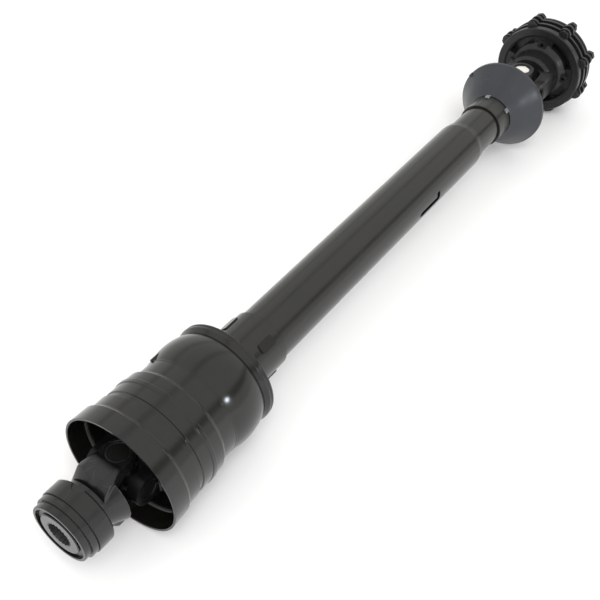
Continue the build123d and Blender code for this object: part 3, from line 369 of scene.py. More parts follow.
class Paintbox:
    """All finishes of the shaft, each built once."""

    def __init__(self) -> None:
        """Build every finish."""
        self.finishes = {finish.name: finish for finish in self.list_finishes()}
        self.materials = {name: finish.build() for name, finish in self.finishes.items()}

    @staticmethod
    def list_finishes() -> list[Finish]:
        """Return the finishes of the shaft's pieces."""
        return [
            Finish("guard_plastic", Slot.BLACK, (0.0068, 0.0067, 0.0058), (0.0092, 0.0090, 0.0080),
                   (0.03, 0.029, 0.027), 0.13, 0.20, grain_scale=420, bump=0.06, scratches=0.12, dust=0.015),
            Finish("tube_plastic", Slot.BLACK, (0.0095, 0.0092, 0.0070), (0.0125, 0.0121, 0.0096),
                   (0.04, 0.038, 0.035), 0.17, 0.25, grain_scale=700, grain_along=0.02, bump=0.14,
                   scratches=0.12, dust=0.015),
            Finish("collar_plastic", Slot.BLACK, (0.0052, 0.0052, 0.0048), (0.0085, 0.0084, 0.0078),
                   (0.05, 0.049, 0.047), 0.20, 0.30, grain_scale=1500, bump=0.18, scratches=0.2, dust=0.015),
            Finish("cone_plastic", Slot.GREY, (0.022, 0.0242, 0.0305), (0.028, 0.0305, 0.037),
                   (0.09, 0.093, 0.10), 0.30, 0.42, grain_scale=1400, bump=0.16, scratches=0.15, dust=0.015),
            Finish("black_paint", Slot.PAINT, (0.0085, 0.0085, 0.0085), (0.016, 0.016, 0.016),
                   (0.07, 0.069, 0.067), 0.24, 0.38, grain_scale=520, grain_depth=0.0001, bump=0.3,
                   scratches=0.25, dust=0.015, specular=0.4),
            # a darker, rougher copy of the black paint for the yokes deep inside the bell; the darker colour
            # is painted shade
            Finish("joint_black_painted_shade", Slot.PAINT, (0.003, 0.003, 0.003), (0.006, 0.006, 0.006),
                   (0.05, 0.049, 0.047), 0.3, 0.45, grain_scale=520, grain_depth=0.0001, bump=0.3,
                   scratches=0.25, dust=0.0, specular=0.25),
            # a darker, rougher copy of the tube plastic for the inner guard tube where the outer tube covers
            # it; the darker colour is painted shade, so the slot reads black
            Finish("sleeve_painted_shade", Slot.BLACK, (0.0045, 0.0044, 0.004), (0.0065, 0.0063, 0.0056),
                   (0.03, 0.029, 0.027), 0.42, 0.58, grain_scale=700, grain_along=0.02, bump=0.3,
                   scratches=0.3, dust=0.0, specular=0.22),
            Finish("forged_black", Slot.PAINT, (0.0045, 0.0045, 0.0045), (0.0085, 0.0085, 0.0082),
                   (0.07, 0.069, 0.066), 0.16, 0.28, grain_scale=380, grain_depth=0.0001, bump=0.2,
                   scratches=0.2, dust=0.015),
            Finish("dark_fastener", Slot.PAINT, (0.018, 0.018, 0.019), (0.032, 0.032, 0.033),
                   (0.12, 0.12, 0.12), 0.3, 0.44, metallic=0.4, grain_scale=1100, bump=0.25, scratches=0.3,
                   dust=0.015),
            Finish("hub_steel", Slot.PAINT, (0.14, 0.14, 0.141), (0.21, 0.21, 0.212), (0.5, 0.5, 0.5),
                   0.34, 0.5, metallic=0.85, grain_scale=1200, bump=0.2, scratches=0.3, dust=0.0),
            Finish("turned_steel", Slot.BRIGHT, (0.30, 0.30, 0.30), (0.42, 0.42, 0.41), (0.6, 0.6, 0.59),
                   0.24, 0.38, metallic=1.0, grain_scale=1600, grain_along=3.0, grain_across=0.2, bump=0.25,
                   dust=0.0),
            # a cream-white, non-metallic face for the rear yoke's steel cups: a painted reflection of the
            # bright light above
            Finish("cup_painted_reflection", Slot.BRIGHT, (0.80, 0.775, 0.72), (0.88, 0.855, 0.80), (0.6, 0.57, 0.52),
                   0.42, 0.56, grain_scale=900, bump=0.15, scratches=0.15, dust=0.0),
            # near-black steel for the other joints' cups, which lie in shade inside the bell and the joints;
            # the dark colour is painted shade
            Finish("cup_painted_shade", Slot.BRIGHT, (0.016, 0.016, 0.016), (0.04, 0.039, 0.037), (0.15, 0.15, 0.14),
                   0.22, 0.4, metallic=0.7, grain_scale=900, bump=0.3, scratches=0.3, dust=0.0),
            Finish("spring_steel", Slot.SPRING, (0.06, 0.06, 0.065), (0.11, 0.11, 0.115), (0.3, 0.3, 0.3),
                   0.3, 0.44, metallic=0.9, grain_scale=1300, bump=0.3, dust=0.0),
            Finish("zinc_plate", Slot.ZINC, (0.36, 0.37, 0.39), (0.48, 0.49, 0.51), (0.6, 0.6, 0.6),
                   0.24, 0.36, metallic=0.95, grain_scale=1100, bump=0.2, dust=0.0),
            Finish("greased_tube", Slot.TUBE, (0.10, 0.09, 0.075), (0.17, 0.155, 0.13), (0.35, 0.34, 0.32),
                   0.24, 0.4, metallic=0.8, grain_scale=900, grain_along=0.03, bump=0.3, dust=0.0),
            Finish("white_nylon", Slot.NYLON, (0.70, 0.67, 0.58), (0.78, 0.75, 0.66), (0.6, 0.57, 0.5),
                   0.4, 0.52, grain_scale=1100, bump=0.2),
            Finish("seal_rubber", Slot.RUBBER, (0.007, 0.007, 0.007), (0.012, 0.012, 0.012),
                   (0.03, 0.03, 0.03), 0.5, 0.7, grain_scale=1700, bump=0.4, dust=0.0, specular=0.3),
            Finish("friction_lining", Slot.LINING, (0.040, 0.034, 0.028), (0.09, 0.078, 0.066),
                   (0.22, 0.2, 0.17), 0.72, 0.9, grain_scale=1900, grain_depth=0.0002, bump=0.7,
                   scratches=0.1, dust=0.0),
            Finish("sintered_bronze", Slot.BRONZE, (0.42, 0.27, 0.13), (0.52, 0.36, 0.18), (0.6, 0.46, 0.26),
                   0.4, 0.55, metallic=0.9, grain_scale=2200, bump=0.35, dust=0.0),
        ]

    def dress(self, obj: bpy.types.Object, name: str) -> None:
        """Give an object one finish over its whole mesh.

        Args:
            obj: The object.
            name: The finish's name.
        """
        obj.data.materials.clear()
        obj.data.materials.append(self.materials[name])


# ---------------------------------------------------------------- mesh tools


def body_of(node: str) -> str:
    """Return the body that a CAD node belongs to."""
    groups = frame["record"]["behaviour"]["bodies"]
    return next(body for body, members in groups.items() if node in members)


def rounded(outline: list[Point], radius: float, steps: int = 3) -> list[Point]:
    """Round every corner of a closed outline.

    Args:
        outline: Corners in order.
        radius: The largest corner radius; short sides limit it.
        steps: Points added along each corner.

    Returns:
        The outline with rounded corners.
    """
    longest_share = 0.45  # how much of a side one corner may take
    straight = math.radians(176)
    points: list[Point] = []
    count = len(outline)
    for index in range(count):
        before = Vector(outline[index - 1])
        corner = Vector(outline[index])
        after = Vector(outline[(index + 1) % count])
        to_before, to_after = before - corner, after - corner
        reach = min(radius, to_before.length * longest_share, to_after.length * longest_share)
        if reach < 1e-6 or to_before.angle(to_after) > straight:
            points.append(tuple(corner))
            continue
        first = corner + to_before.normalized() * reach
        last = corner + to_after.normalized() * reach
        for step in range(steps + 1):
            share = step / steps
            middle = first.lerp(corner, share).lerp(corner.lerp(last, share), share)
            points.append(tuple(middle))
    return points


def arc(centre: Point, radius: float, start: float, end: float, steps: int) -> list[Point]:
    """Return points on an arc from one angle to another, in degrees."""
    turns = [math.radians(start + (end - start) * step / steps) for step in range(steps + 1)]
    return [(centre[0] + radius * math.cos(turn), centre[1] + radius * math.sin(turn)) for turn in turns]


def lathe(name: str, outline: list[Point], segments: int) -> bpy.types.Object:
    """Turn a closed (x, radius) outline about the shaft's axis.

    Args:
        name: The object's name.
        outline: Corners in millimetres, in order.
        segments: Faces round the axis.

    Returns:
        The turned object, with outward faces.
    """
    shape = bmesh.new()
    rings = []
    for x, radius in outline:
        ring = []
        for index in range(segments):
            turn = FULL_TURN * index / segments
            across, upward = radius * MM * math.cos(turn), radius * MM * math.sin(turn)
            ring.append(shape.verts.new((x * MM, across, upward)))
        rings.append(ring)
    for one, other in zip(rings, rings[1:] + rings[:1]):
        for index in range(segments):
            following = (index + 1) % segments
            shape.faces.new((one[index], one[following], other[following], other[index]))
    return finished_mesh(name, shape)


def finished_mesh(name: str, shape: bmesh.types.BMesh) -> bpy.types.Object:
    """Close a bmesh into a smooth-shaded object with outward faces.

    Args:
        name: The object's name.
        shape: The bmesh, which is freed.

    Returns:
        The linked object.
    """
    bmesh.ops.remove_doubles(shape, verts=shape.verts, dist=1e-7)
    bmesh.ops.recalc_face_normals(shape, faces=shape.faces)
    mesh = bpy.data.meshes.new(name)
    shape.to_mesh(mesh)
    shape.free()
    mesh.shade_smooth()
    obj = bpy.data.objects.new(name, mesh)
    bpy.context.scene.collection.objects.link(obj)
    return obj


def slab(name: str, sides: list[list[Place]], edge: float, segments: int) -> bpy.types.Object:
    """Close two like outlines into one solid with softened edges.

    Args:
        name: The object's name.
        sides: The two outlines in millimetres, with their corners in the same order.
        edge: Width of the softened edges in millimetres.
        segments: Faces across a softened edge.

    Returns:
        The solid.
    """
    shape = bmesh.new()
    near, far = ([shape.verts.new([value * MM for value in corner]) for corner in side] for side in sides)
    shape.faces.new(near)
    shape.faces.new(far)
    for index in range(len(near)):
        following = (index + 1) % len(near)
        shape.faces.new((near[index], near[following], far[following], far[index]))
    solid = finished_mesh(name, shape)
    bevel = solid.modifiers.new("soft_edges", "BEVEL")
    bevel.width = edge * MM
    bevel.segments = segments
    return crisp(settled(solid))


def settled(obj: bpy.types.Object) -> bpy.types.Object:
    """Replace an object's mesh by its evaluated mesh and drop its modifiers."""
    bpy.context.view_layer.update()
    graph = bpy.context.evaluated_depsgraph_get()
    mesh = bpy.data.meshes.new_from_object(obj.evaluated_get(graph))
    obj.modifiers.clear()
    obj.data = mesh
    return obj


def crisp(obj: bpy.types.Object, angle: float = 34.0) -> bpy.types.Object:
    """Mark the sharp edges and weight the normals, so that flat faces look flat."""
    obj.data.set_sharp_from_angle(angle=math.radians(angle))
    modifier = obj.modifiers.new("weighted", "WEIGHTED_NORMAL")
    modifier.keep_sharp = True
    return settled(obj)


def placed(obj: bpy.types.Object, body: str, *nodes: str) -> bpy.types.Object:
    """Let a piece ride on its body and stand for its CAD nodes.

    Args:
        obj: The piece, already dressed.
        body: The body's name.
        nodes: The CAD nodes that it stands for.

    Returns:
        The piece.
    """
    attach(obj, body)
    if nodes:
        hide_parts(*nodes)
    LOG.info("%s rides on %s, %d faces", obj.name, body, len(obj.data.polygons))
    return obj


def skin(node: str, edge: float, segments: int = 2, seam: float | None = None) -> bpy.types.Object:
    """Copy a CAD node, merge its triangles and soften its edges.

    Args:
        node: The node's name.
        edge: Width of the softened edge in millimetres; zero leaves edges sharp.
        segments: Faces across the softened edge.
        seam: Station in metres where faces are split, so that a second finish can end there.

    Returns:
        The softened copy.
    """
    shape = bmesh.new()
    shape.from_mesh(frame["nodes"][node].data)
    bmesh.ops.remove_doubles(shape, verts=shape.verts, dist=MERGE_DISTANCE)
    bmesh.ops.dissolve_limit(shape, angle_limit=FLAT_ANGLE, verts=shape.verts, edges=shape.edges)
    if seam is not None:
        bmesh.ops.bisect_plane(shape, geom=[*shape.verts, *shape.edges, *shape.faces],
                               plane_co=(seam, 0.0, 0.0), plane_no=(1.0, 0.0, 0.0))
    mesh = bpy.data.meshes.new(f"{node}_skin")
    shape.to_mesh(mesh)
    shape.free()
    mesh.shade_smooth()
    obj = bpy.data.objects.new(f"{node}_skin", mesh)
    bpy.context.scene.collection.objects.link(obj)
    if edge > 0:
        bevel = obj.modifiers.new("soft_edges", "BEVEL")
        bevel.width = edge * MM
        bevel.segments = segments
        bevel.limit_method = "ANGLE"
        bevel.angle_limit = BEVEL_ANGLE
        bevel.use_clamp_overlap = True
        bevel.miter_outer = "MITER_ARC"
        settled(obj)
    return crisp(obj)


class RingArray:
    """Geometry Nodes tree that repeats one mesh round the shaft."""

    def __init__(self) -> None:
        """Build the tree with its named inputs."""
        self.tree = bpy.data.node_groups.new("ring_array", "GeometryNodeTree")
        face = self.tree.interface
        face.new_socket(name="Geometry", in_out="INPUT", socket_type="NodeSocketGeometry")
        self.keys = {
            label: face.new_socket(name=label, in_out="INPUT", socket_type=kind).identifier
            for label, kind in (
                ("Count", "NodeSocketInt"),
                ("Radius", "NodeSocketFloat"),
                ("Station", "NodeSocketFloat"),
                ("Phase", "NodeSocketFloat"),
                ("Finish", "NodeSocketMaterial"),
            )
        }
        face.new_socket(name="Geometry", in_out="OUTPUT", socket_type="NodeSocketGeometry")
        self.fill()

    def fill(self) -> None:
        """Add the tree's nodes: points on a circle, turned instances, and their finish."""
        nodes, links = self.tree.nodes, self.tree.links
        start, end = nodes.new("NodeGroupInput"), nodes.new("NodeGroupOutput")
        points = nodes.new("GeometryNodePoints")
        links.new(start.outputs["Count"], points.inputs["Count"])

        def calculate(operation: str, first: object, second: object) -> bpy.types.NodeSocket:
            """Add a Math node to the tree and return its result."""
            node = nodes.new("ShaderNodeMath")
            node.operation = operation
            feed(self.tree, node.inputs[0], first)
            feed(self.tree, node.inputs[1], second)
            return node.outputs[0]

        index = nodes.new("GeometryNodeInputIndex").outputs[0]
        step = calculate("DIVIDE", FULL_TURN, start.outputs["Count"])
        angle = calculate("ADD", calculate("MULTIPLY", index, step), start.outputs["Phase"])
        place = nodes.new("ShaderNodeCombineXYZ")
        links.new(start.outputs["Station"], place.inputs["X"])
        across = calculate("MULTIPLY", calculate("COSINE", angle, 0.0), start.outputs["Radius"])
        upward = calculate("MULTIPLY", calculate("SINE", angle, 0.0), start.outputs["Radius"])
        links.new(across, place.inputs["Y"])
        links.new(upward, place.inputs["Z"])
        links.new(place.outputs[0], points.inputs["Position"])
        turn = nodes.new("ShaderNodeCombineXYZ")
        links.new(angle, turn.inputs["X"])
        rotation = nodes.new("FunctionNodeEulerToRotation")
        links.new(turn.outputs[0], rotation.inputs[0])
        copies = nodes.new("GeometryNodeInstanceOnPoints")
        links.new(points.outputs[0], copies.inputs["Points"])
        links.new(start.outputs["Geometry"], copies.inputs["Instance"])
        links.new(rotation.outputs[0], copies.inputs["Rotation"])
        real = nodes.new("GeometryNodeRealizeInstances")
        links.new(copies.outputs[0], real.inputs[0])
        finish = nodes.new("GeometryNodeSetMaterial")
        links.new(real.outputs[0], finish.inputs["Geometry"])
        links.new(start.outputs["Finish"], finish.inputs["Material"])
        links.new(finish.outputs[0], end.inputs[0])

    def repeat(
        self,
        unit: bpy.types.Object,
        count: int,
        phase: float,
        finish: bpy.types.Material,
        radius: float = 0.0,
        station: float = 0.0,
    ) -> bpy.types.Object:
        """Repeat an object round the shaft and make the result a plain mesh.

        Args:
            unit: The object, modelled at the origin with its outer side to +Y.
            count: Copies round the shaft.
            phase: Angle of the first copy from +Y in degrees.
            finish: The material.
            radius: How far each copy moves away from the axis in millimetres.
            station: How far each copy moves along the shaft in millimetres.

        Returns:
            The same object, holding all the copies.
        """
        modifier = unit.modifiers.new("ring", "NODES")
        modifier.node_group = self.tree
        modifier[self.keys["Count"]] = count
        modifier[self.keys["Radius"]] = radius * MM
        modifier[self.keys["Station"]] = station * MM
        modifier[self.keys["Phase"]] = math.radians(phase)
        modifier[self.keys["Finish"]] = finish
        return settled(unit)


def hexagon_nut(
    name: str, across: float, height: float, bore: float, washer: float = 0.0
) -> bpy.types.Object:
    """Model a chamfered hexagon along X from x = 0 to its height.

    Args:
        name: The object's name.
        across: Width across flats in millimetres.
        height: Height in millimetres.
        bore: Hole radius; zero closes both ends.
        washer: Height of a round washer face at x = 0.

    Returns:
        The nut or bolt head.
    """
    shape = bmesh.new()
    rim = across / 2 * 0.96
    slope = math.tan(math.radians(28))
    flat_turn = math.pi / 3
    count = 48
    columns = []
    for index in range(count):
        turn = FULL_TURN * index / count
        folded = (turn + flat_turn / 2) % flat_turn - flat_turn / 2
        flat = across / 2 / math.cos(folded)
        drop = max(0.0, flat - rim) * slope
        rows = [(washer, rim), (washer + drop, flat), (height - drop, flat), (height, rim)]
        if washer:
            rows = [(0.0, rim), *rows]
        if bore:
            rows = [(rows[0][0], bore), *rows, (height, bore)]
        columns.append([
            shape.verts.new((x * MM, r * MM * math.cos(turn), r * MM * math.sin(turn))) for x, r in rows
        ])
    for one, other in zip(columns, columns[1:] + columns[:1]):
        for row in range(len(one) - 1):
            shape.faces.new((one[row], one[row + 1], other[row + 1], other[row]))
        if bore:
            shape.faces.new((one[-1], one[0], other[0], other[-1]))
    if not bore:
        shape.faces.new([column[0] for column in columns])
        shape.faces.new([column[-1] for column in columns])
    return finished_mesh(name, shape)


def threaded(name: str, start: float, end: float, radius: float, pitch: float) -> bpy.types.Object:
    """Turn a stud with thread ridges along X, with a chamfered end."""
    outline: list[Point] = [(start, 0.0)]
    x = start
    while x < end - pitch * 1.5:
        outline += [(x, radius - pitch * 0.5), (x + pitch / 2, radius)]
        x += pitch
    outline += [(end - pitch, radius - pitch * 0.5), (end, radius - pitch), (end, 0.0)]
    return lathe(name, outline, 24)


def joined(name: str, pieces: list[bpy.types.Object]) -> bpy.types.Object:
    """Join plain meshes into one object.

    Args:
        name: The new object's name.
        pieces: Objects at the origin, which are removed.

    Returns:
        The joined object, with each piece's materials kept.
    """
    shape = bmesh.new()
    materials: list[bpy.types.Material] = []
    for piece in pieces:
        first = len(shape.faces)
        shape.from_mesh(piece.data)
        shape.faces.ensure_lookup_table()
        slots = [material for material in piece.data.materials if material]
        for face in shape.faces[first:]:
            if slots:
                material = slots[min(face.material_index, len(slots) - 1)]
                if material not in materials:
                    materials.append(material)
                face.material_index = materials.index(material)
    mesh = bpy.data.meshes.new(name)
    shape.to_mesh(mesh)
    shape.free()
    for material in materials:
        mesh.materials.append(material)
    obj = bpy.data.objects.new(name, mesh)
    bpy.context.scene.collection.objects.link(obj)
    for piece in pieces:
        bpy.data.objects.remove(piece)
    return obj


# ---------------------------------------------------------------- sub-assemblies


@dataclass
class SolidPieces:
    """Pieces whose CAD shape is right: each gets softened edges and its finish."""

    paints: Paintbox
    edge: float = 0.35
    collar_travel: float = 6.0

    def finishes(self) -> dict[str, tuple[str, ...]]:
        """Return the CAD nodes of each finish."""
        return {
            "black_paint": ("rear_shaft_yoke", "clutch_yoke", "pressure_plate"),
            # these yokes sit deep inside the bell: their darker paint is painted shade
            "joint_black_painted_shade": ("housing_front_yoke", "housing_rear_yoke", "inner_shaft_yoke"),
            "hub_steel": ("clutch_hub", "front_centring_stud", "rear_centring_stud"),
            "turned_steel": (
                "front_cross", "middle_cross", "rear_cross", "locking_balls", "collar_lock_ring",
                "centring_disc", "centring_bush", "clutch_drive_plate",
            ),
            # painted reflection: these cups' bright cream faces stand in for bare steel mirroring the light
            # above
            "cup_painted_reflection": ("rear_yoke_bearing_cups",),
            # painted shade: these cups are darkened for the shade they lie in
            "cup_painted_shade": (
                "tractor_yoke_bearing_cups", "housing_bearing_cups", "inner_yoke_bearing_cups",
                "clutch_yoke_bearing_cups",
            ),
            "spring_steel": (
                "collar_spring", "collar_snap_ring", "collar_spring_washer", "disc_spring",
                "tractor_yoke_cup_rings", "housing_cup_rings", "inner_yoke_cup_rings", "rear_yoke_cup_rings",
                "clutch_yoke_cup_rings", "front_tube_pin", "rear_tube_pin",
            ),
            "zinc_plate": (
                "front_cross_nipple", "middle_cross_nipple", "rear_cross_nipple", "hub_clamp_bolt",
                "cone_clips",
            ),
            "greased_tube": ("inner_profile_tube", "outer_profile_tube"),
            "white_nylon": ("front_guard_bearing", "rear_guard_bearing"),
            "seal_rubber": ("front_cross_seals", "middle_cross_seals", "rear_cross_seals"),
            "friction_lining": ("front_friction_disc", "rear_friction_disc"),
            "sintered_bronze": ("clutch_bushing",),
        }

    def build(self) -> None:
        """Make, dress and place a softened copy of each node."""
        for finish, nodes in self.finishes().items():
            for node in nodes:
                edge = 0.0 if node in ("collar_spring", "locking_balls") else self.edge
                piece = skin(node, edge)
                self.paints.dress(piece, finish)
                placed(piece, body_of(node), node)
                if node == "collar_spring":
                    self.squeezed(piece)

    def squeezed(self, spring: bpy.types.Object) -> None:
        """Give the collar's spring its own copy of its mesh.

        Args:
            spring: The spring, already placed.
        """
        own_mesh(spring)


@dataclass
class FrontGuard:
    """Bell shield, clamp ring, base and outer guard tube. Sizes in millimetres."""

    paints: Paintbox
    rings: RingArray
    wall: float = 3.0
    dome_radius: float = 77.7
    dome_centre: float = 246.0
    waist_radius: float = 72.6
    dome_steps: int = 44
    corner_radius: float = 0.45
    segments: int = 256
    rib_count: int = 8
    rib_phase: float = 22.5
    rib_thickness: float = 2.6
    lug_station: float = 225.0
    lug_length: float = 16.0
    lug_width: float = 5.0
    lug_angle: float = 42.0
    lug_reach: tuple[float, float] = (72.0, 76.8)
    lug_taper: float = 0.8

    def bands(self, inset: float) -> list[Point]:
        """Return the shield's stepped outline from mouth to waist.

        Args:
            inset: Zero for the outside, the wall's thickness for the inside.

        Returns:
            Points (x, radius).
        """
        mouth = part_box("bell_shield")[0].x / MM
        steps = [
            (0, 85.5), (25.5, 84.3), (27, 83.2), (27.6, 81.6), (30.5, 80.7), (48.4, 80.6), (49.4, 77.9),
            (56.6, 77.9), (57.4, 79.3), (73.4, 79.3), (74.2, 80.4), (79.6, 80.4), (80.6, 78.9),
            (95.6, 78.2), (96.6, 76.0), (99.5, 75.0), (101.6, self.waist_radius + 0.9),
            (123.0, self.waist_radius + 0.9), (123.6, self.waist_radius + 1.5),
            (124.9, self.waist_radius + 1.5), (125.6, self.waist_radius + 0.1),
        ]
        return [(mouth + x, radius - inset) for x, radius in steps]

    def shield(self) -> bpy.types.Object:
        """Build the bell with its inner ribs and its outer lug."""
        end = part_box("bell_shield")[1].x / MM
        plastic = self.paints.materials["guard_plastic"]

        def dome(inset: float) -> list[Point]:
            """Return the dome's points from the waist to its end."""
            radius = self.dome_radius - inset
            first = 180 - math.degrees(math.asin((self.waist_radius - inset) / radius))
            last = math.degrees(math.acos((end - self.dome_centre) / radius))
            return arc((self.dome_centre, 0.0), radius, first, last, self.dome_steps)

        rim = (end, math.sqrt(self.dome_radius**2 - (end - self.dome_centre) ** 2))
        outside = [*self.bands(0), *dome(0)[:-1], rim]
        inside = [*self.bands(self.wall), *dome(self.wall)]
        outline = rounded([*outside, *reversed(inside)], self.corner_radius)
        shell = crisp(lathe("bell_shell", outline, self.segments))
        shell.data.materials.append(plastic)
        ribs = self.rings.repeat(self.rib(), self.rib_count, self.rib_phase, plastic)
        return joined("bell_shield_moulded", [shell, ribs, self.lug()])

    def lug(self) -> bpy.types.Object:
        """Model the small moulded lug that stands on the dome."""
        low, high = self.lug_reach
        foot = self.lug_width / 2
        top = foot * self.lug_taper
        ends = (self.lug_station - self.lug_length / 2, self.lug_station + self.lug_length / 2)
        section = ((low, -foot), (high, -top), (high, top), (low, foot))
        lug = slab("dome_lug", [[(x, *corner) for corner in section] for x in ends], 1.0, 3)
        lug.data.transform(Matrix.Rotation(math.radians(self.lug_angle), 4, "X"))
        lug.data.materials.append(self.paints.materials["guard_plastic"])
        return lug

    def rib(self) -> bpy.types.Object:
        """Model one inner gusset rib, with its outer side to +Y."""
        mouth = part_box("bell_shield")[0].x / MM
        side = [
            (32, 79.0), (46, 72.5), (96, 68.6), (104, 71.1), (97, 72.4), (60, 76.0), (52, 76.4),
        ]
        half = self.rib_thickness / 2
        faces = [[(mouth + x, radius, offset) for x, radius in side] for offset in (-half, half)]
        return slab("bell_rib", faces, 0.7, 2)

    def ring_outline(self) -> list[Point]:
        """Return the clamp ring's outline, whose front lies close on the dome."""
        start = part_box("shield_clamp_ring")[0].x / MM
        steps = [
            (-3.0, 71.4), (1.0, 74.2), (3.0, 75.4), (5.2, 75.4), (6.2, 74.2), (7.6, 74.2), (8.6, 75.1),
            (10.8, 74.9), (12.0, 73.2), (12.0, 70.2), (3.0, 70.2), (-2.6, 71.0),
        ]
        return [(start + x, radius) for x, radius in steps]

    def build(self) -> None:
        """Build and place every piece of the front guard."""
        shield = self.shield()
        self.paints.dress(shield, "guard_plastic")
        placed(shield, "front_guard", "bell_shield")
        ring = crisp(lathe("clamp_ring_bead", rounded(self.ring_outline(), 0.6), self.segments))
        self.paints.dress(ring, "guard_plastic")
        placed(ring, "front_guard", "shield_clamp_ring")
        for node, edge in (("guard_base", 0.6), ("outer_guard_tube", 0.4)):
            piece = skin(node, edge, 3)
            self.paints.dress(piece, "tube_plastic")
            placed(piece, "front_guard", node)


@dataclass
class RearGuard:
    """Inner guard tube and cone. Sizes in millimetres."""

    paints: Paintbox
    neck_length: float = 37.7
    # the inner tube's painted shade ends this far inside the outer tube's mouth
    mouth_margin: float = 8.0
    edge: float = 0.5

    def build(self) -> None:
        """Build and place the rear guard's moulded pieces; the cone's neck is moulded in black, and the
        inner tube's covered part is darkened as painted shade.
        """
        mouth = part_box("outer_guard_tube")[1].x - self.mouth_margin * MM
        tube = skin("inner_guard_tube", self.edge, 3, mouth)
        self.paints.dress(tube, "tube_plastic")
        # the covered part of the inner tube gets a darker finish: painted shade
        self.second_finish(tube, "sleeve_painted_shade", mouth)
        placed(tube, "rear_guard", "inner_guard_tube")
        cone = skin("guard_cone", self.edge, 3)
        self.paints.dress(cone, "cone_plastic")
        self.second_finish(cone, "tube_plastic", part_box("guard_cone")[0].x + self.neck_length * MM)
        placed(cone, "rear_guard", "guard_cone")

    def second_finish(self, piece: bpy.types.Object, finish: str, end: float) -> None:
        """Give the part of a piece on the tractor's side another finish.

        Args:
            piece: The piece, already dressed.
            finish: The finish of that part.
            end: Where that part ends along the shaft, in metres.
        """
        piece.data.materials.append(self.paints.materials[finish])
        for face in piece.data.polygons:
            if face.center.x < end:
                face.material_index = 1


@dataclass
class TractorYoke:
    """The forged yoke with the splined hub. Sizes in millimetres."""

    paints: Paintbox
    seam: float = 42.5
    bore_reach: float = 18.4
    voxel: float = 0.85
    kept_rim: float = 1.5
    rounds: int = 7

    def part(self, keep: Side) -> bpy.types.Object:
        """Cut the CAD yoke behind the collar and keep one side of the cut.

        Args:
            keep: The side to keep.

        Returns:
            The closed part.
        """
        shape = bmesh.new()
        shape.from_mesh(frame["nodes"]["tractor_yoke"].data)
        bmesh.ops.remove_doubles(shape, verts=shape.verts, dist=MERGE_DISTANCE)
        cut = bmesh.ops.bisect_plane(
            shape,
            geom=[*shape.verts, *shape.edges, *shape.faces],
            plane_co=(self.seam * MM, 0.0, 0.0),
            plane_no=(1.0, 0.0, 0.0),
            clear_outer=keep is Side.TRACTOR,
            clear_inner=keep is Side.IMPLEMENT,
        )
        edges = [item for item in cut["geom_cut"] if isinstance(item, bmesh.types.BMEdge)]
        bmesh.ops.triangle_fill(shape, edges=edges, use_beauty=True)
        bmesh.ops.dissolve_limit(shape, angle_limit=FLAT_ANGLE, verts=shape.verts, edges=shape.edges)
        return finished_mesh(f"tractor_yoke_{keep.name.lower()}", shape)

    def build(self) -> None:
        """Build the yoke with a crisp splined hub and a rounded forged head."""
        hub = crisp(self.part(Side.TRACTOR))
        head = self.part(Side.IMPLEMENT)
        remesh = head.modifiers.new("forging", "REMESH")
        remesh.mode = "VOXEL"
        remesh.voxel_size = self.voxel * MM
        settled(head)
        shape = bmesh.new()
        shape.from_mesh(head.data)
        inner = (self.seam + self.kept_rim) * MM
        free = [vertex for vertex in shape.verts if vertex.co.x > inner]
        for _ in range(self.rounds):
            bmesh.ops.smooth_vert(
                shape, verts=free, factor=0.5, use_axis_x=True, use_axis_y=True, use_axis_z=True
            )
        shape.to_mesh(head.data)
        shape.free()
        head.data.shade_smooth()
        yoke = joined("tractor_yoke_forging", [hub, head])
        self.paints.dress(yoke, "forged_black")
        yoke.data.materials.append(self.paints.materials["hub_steel"])
        for face in yoke.data.polygons:
            in_bore = math.hypot(face.center.y, face.center.z) < self.bore_reach * MM
            if in_bore and face.center.x < self.seam * MM:
                face.material_index = 1
        placed(yoke, body_of("tractor_yoke"), "tractor_yoke")


@dataclass
class LockingCollar:
    """The slide collar of the tractor hub."""

    paints: Paintbox

    def build(self) -> None:
        """Build and place the collar."""
        piece = skin("locking_collar", 0.5, 3)
        self.paints.dress(piece, "collar_plastic")
        placed(piece, "locking_collar", "locking_collar")


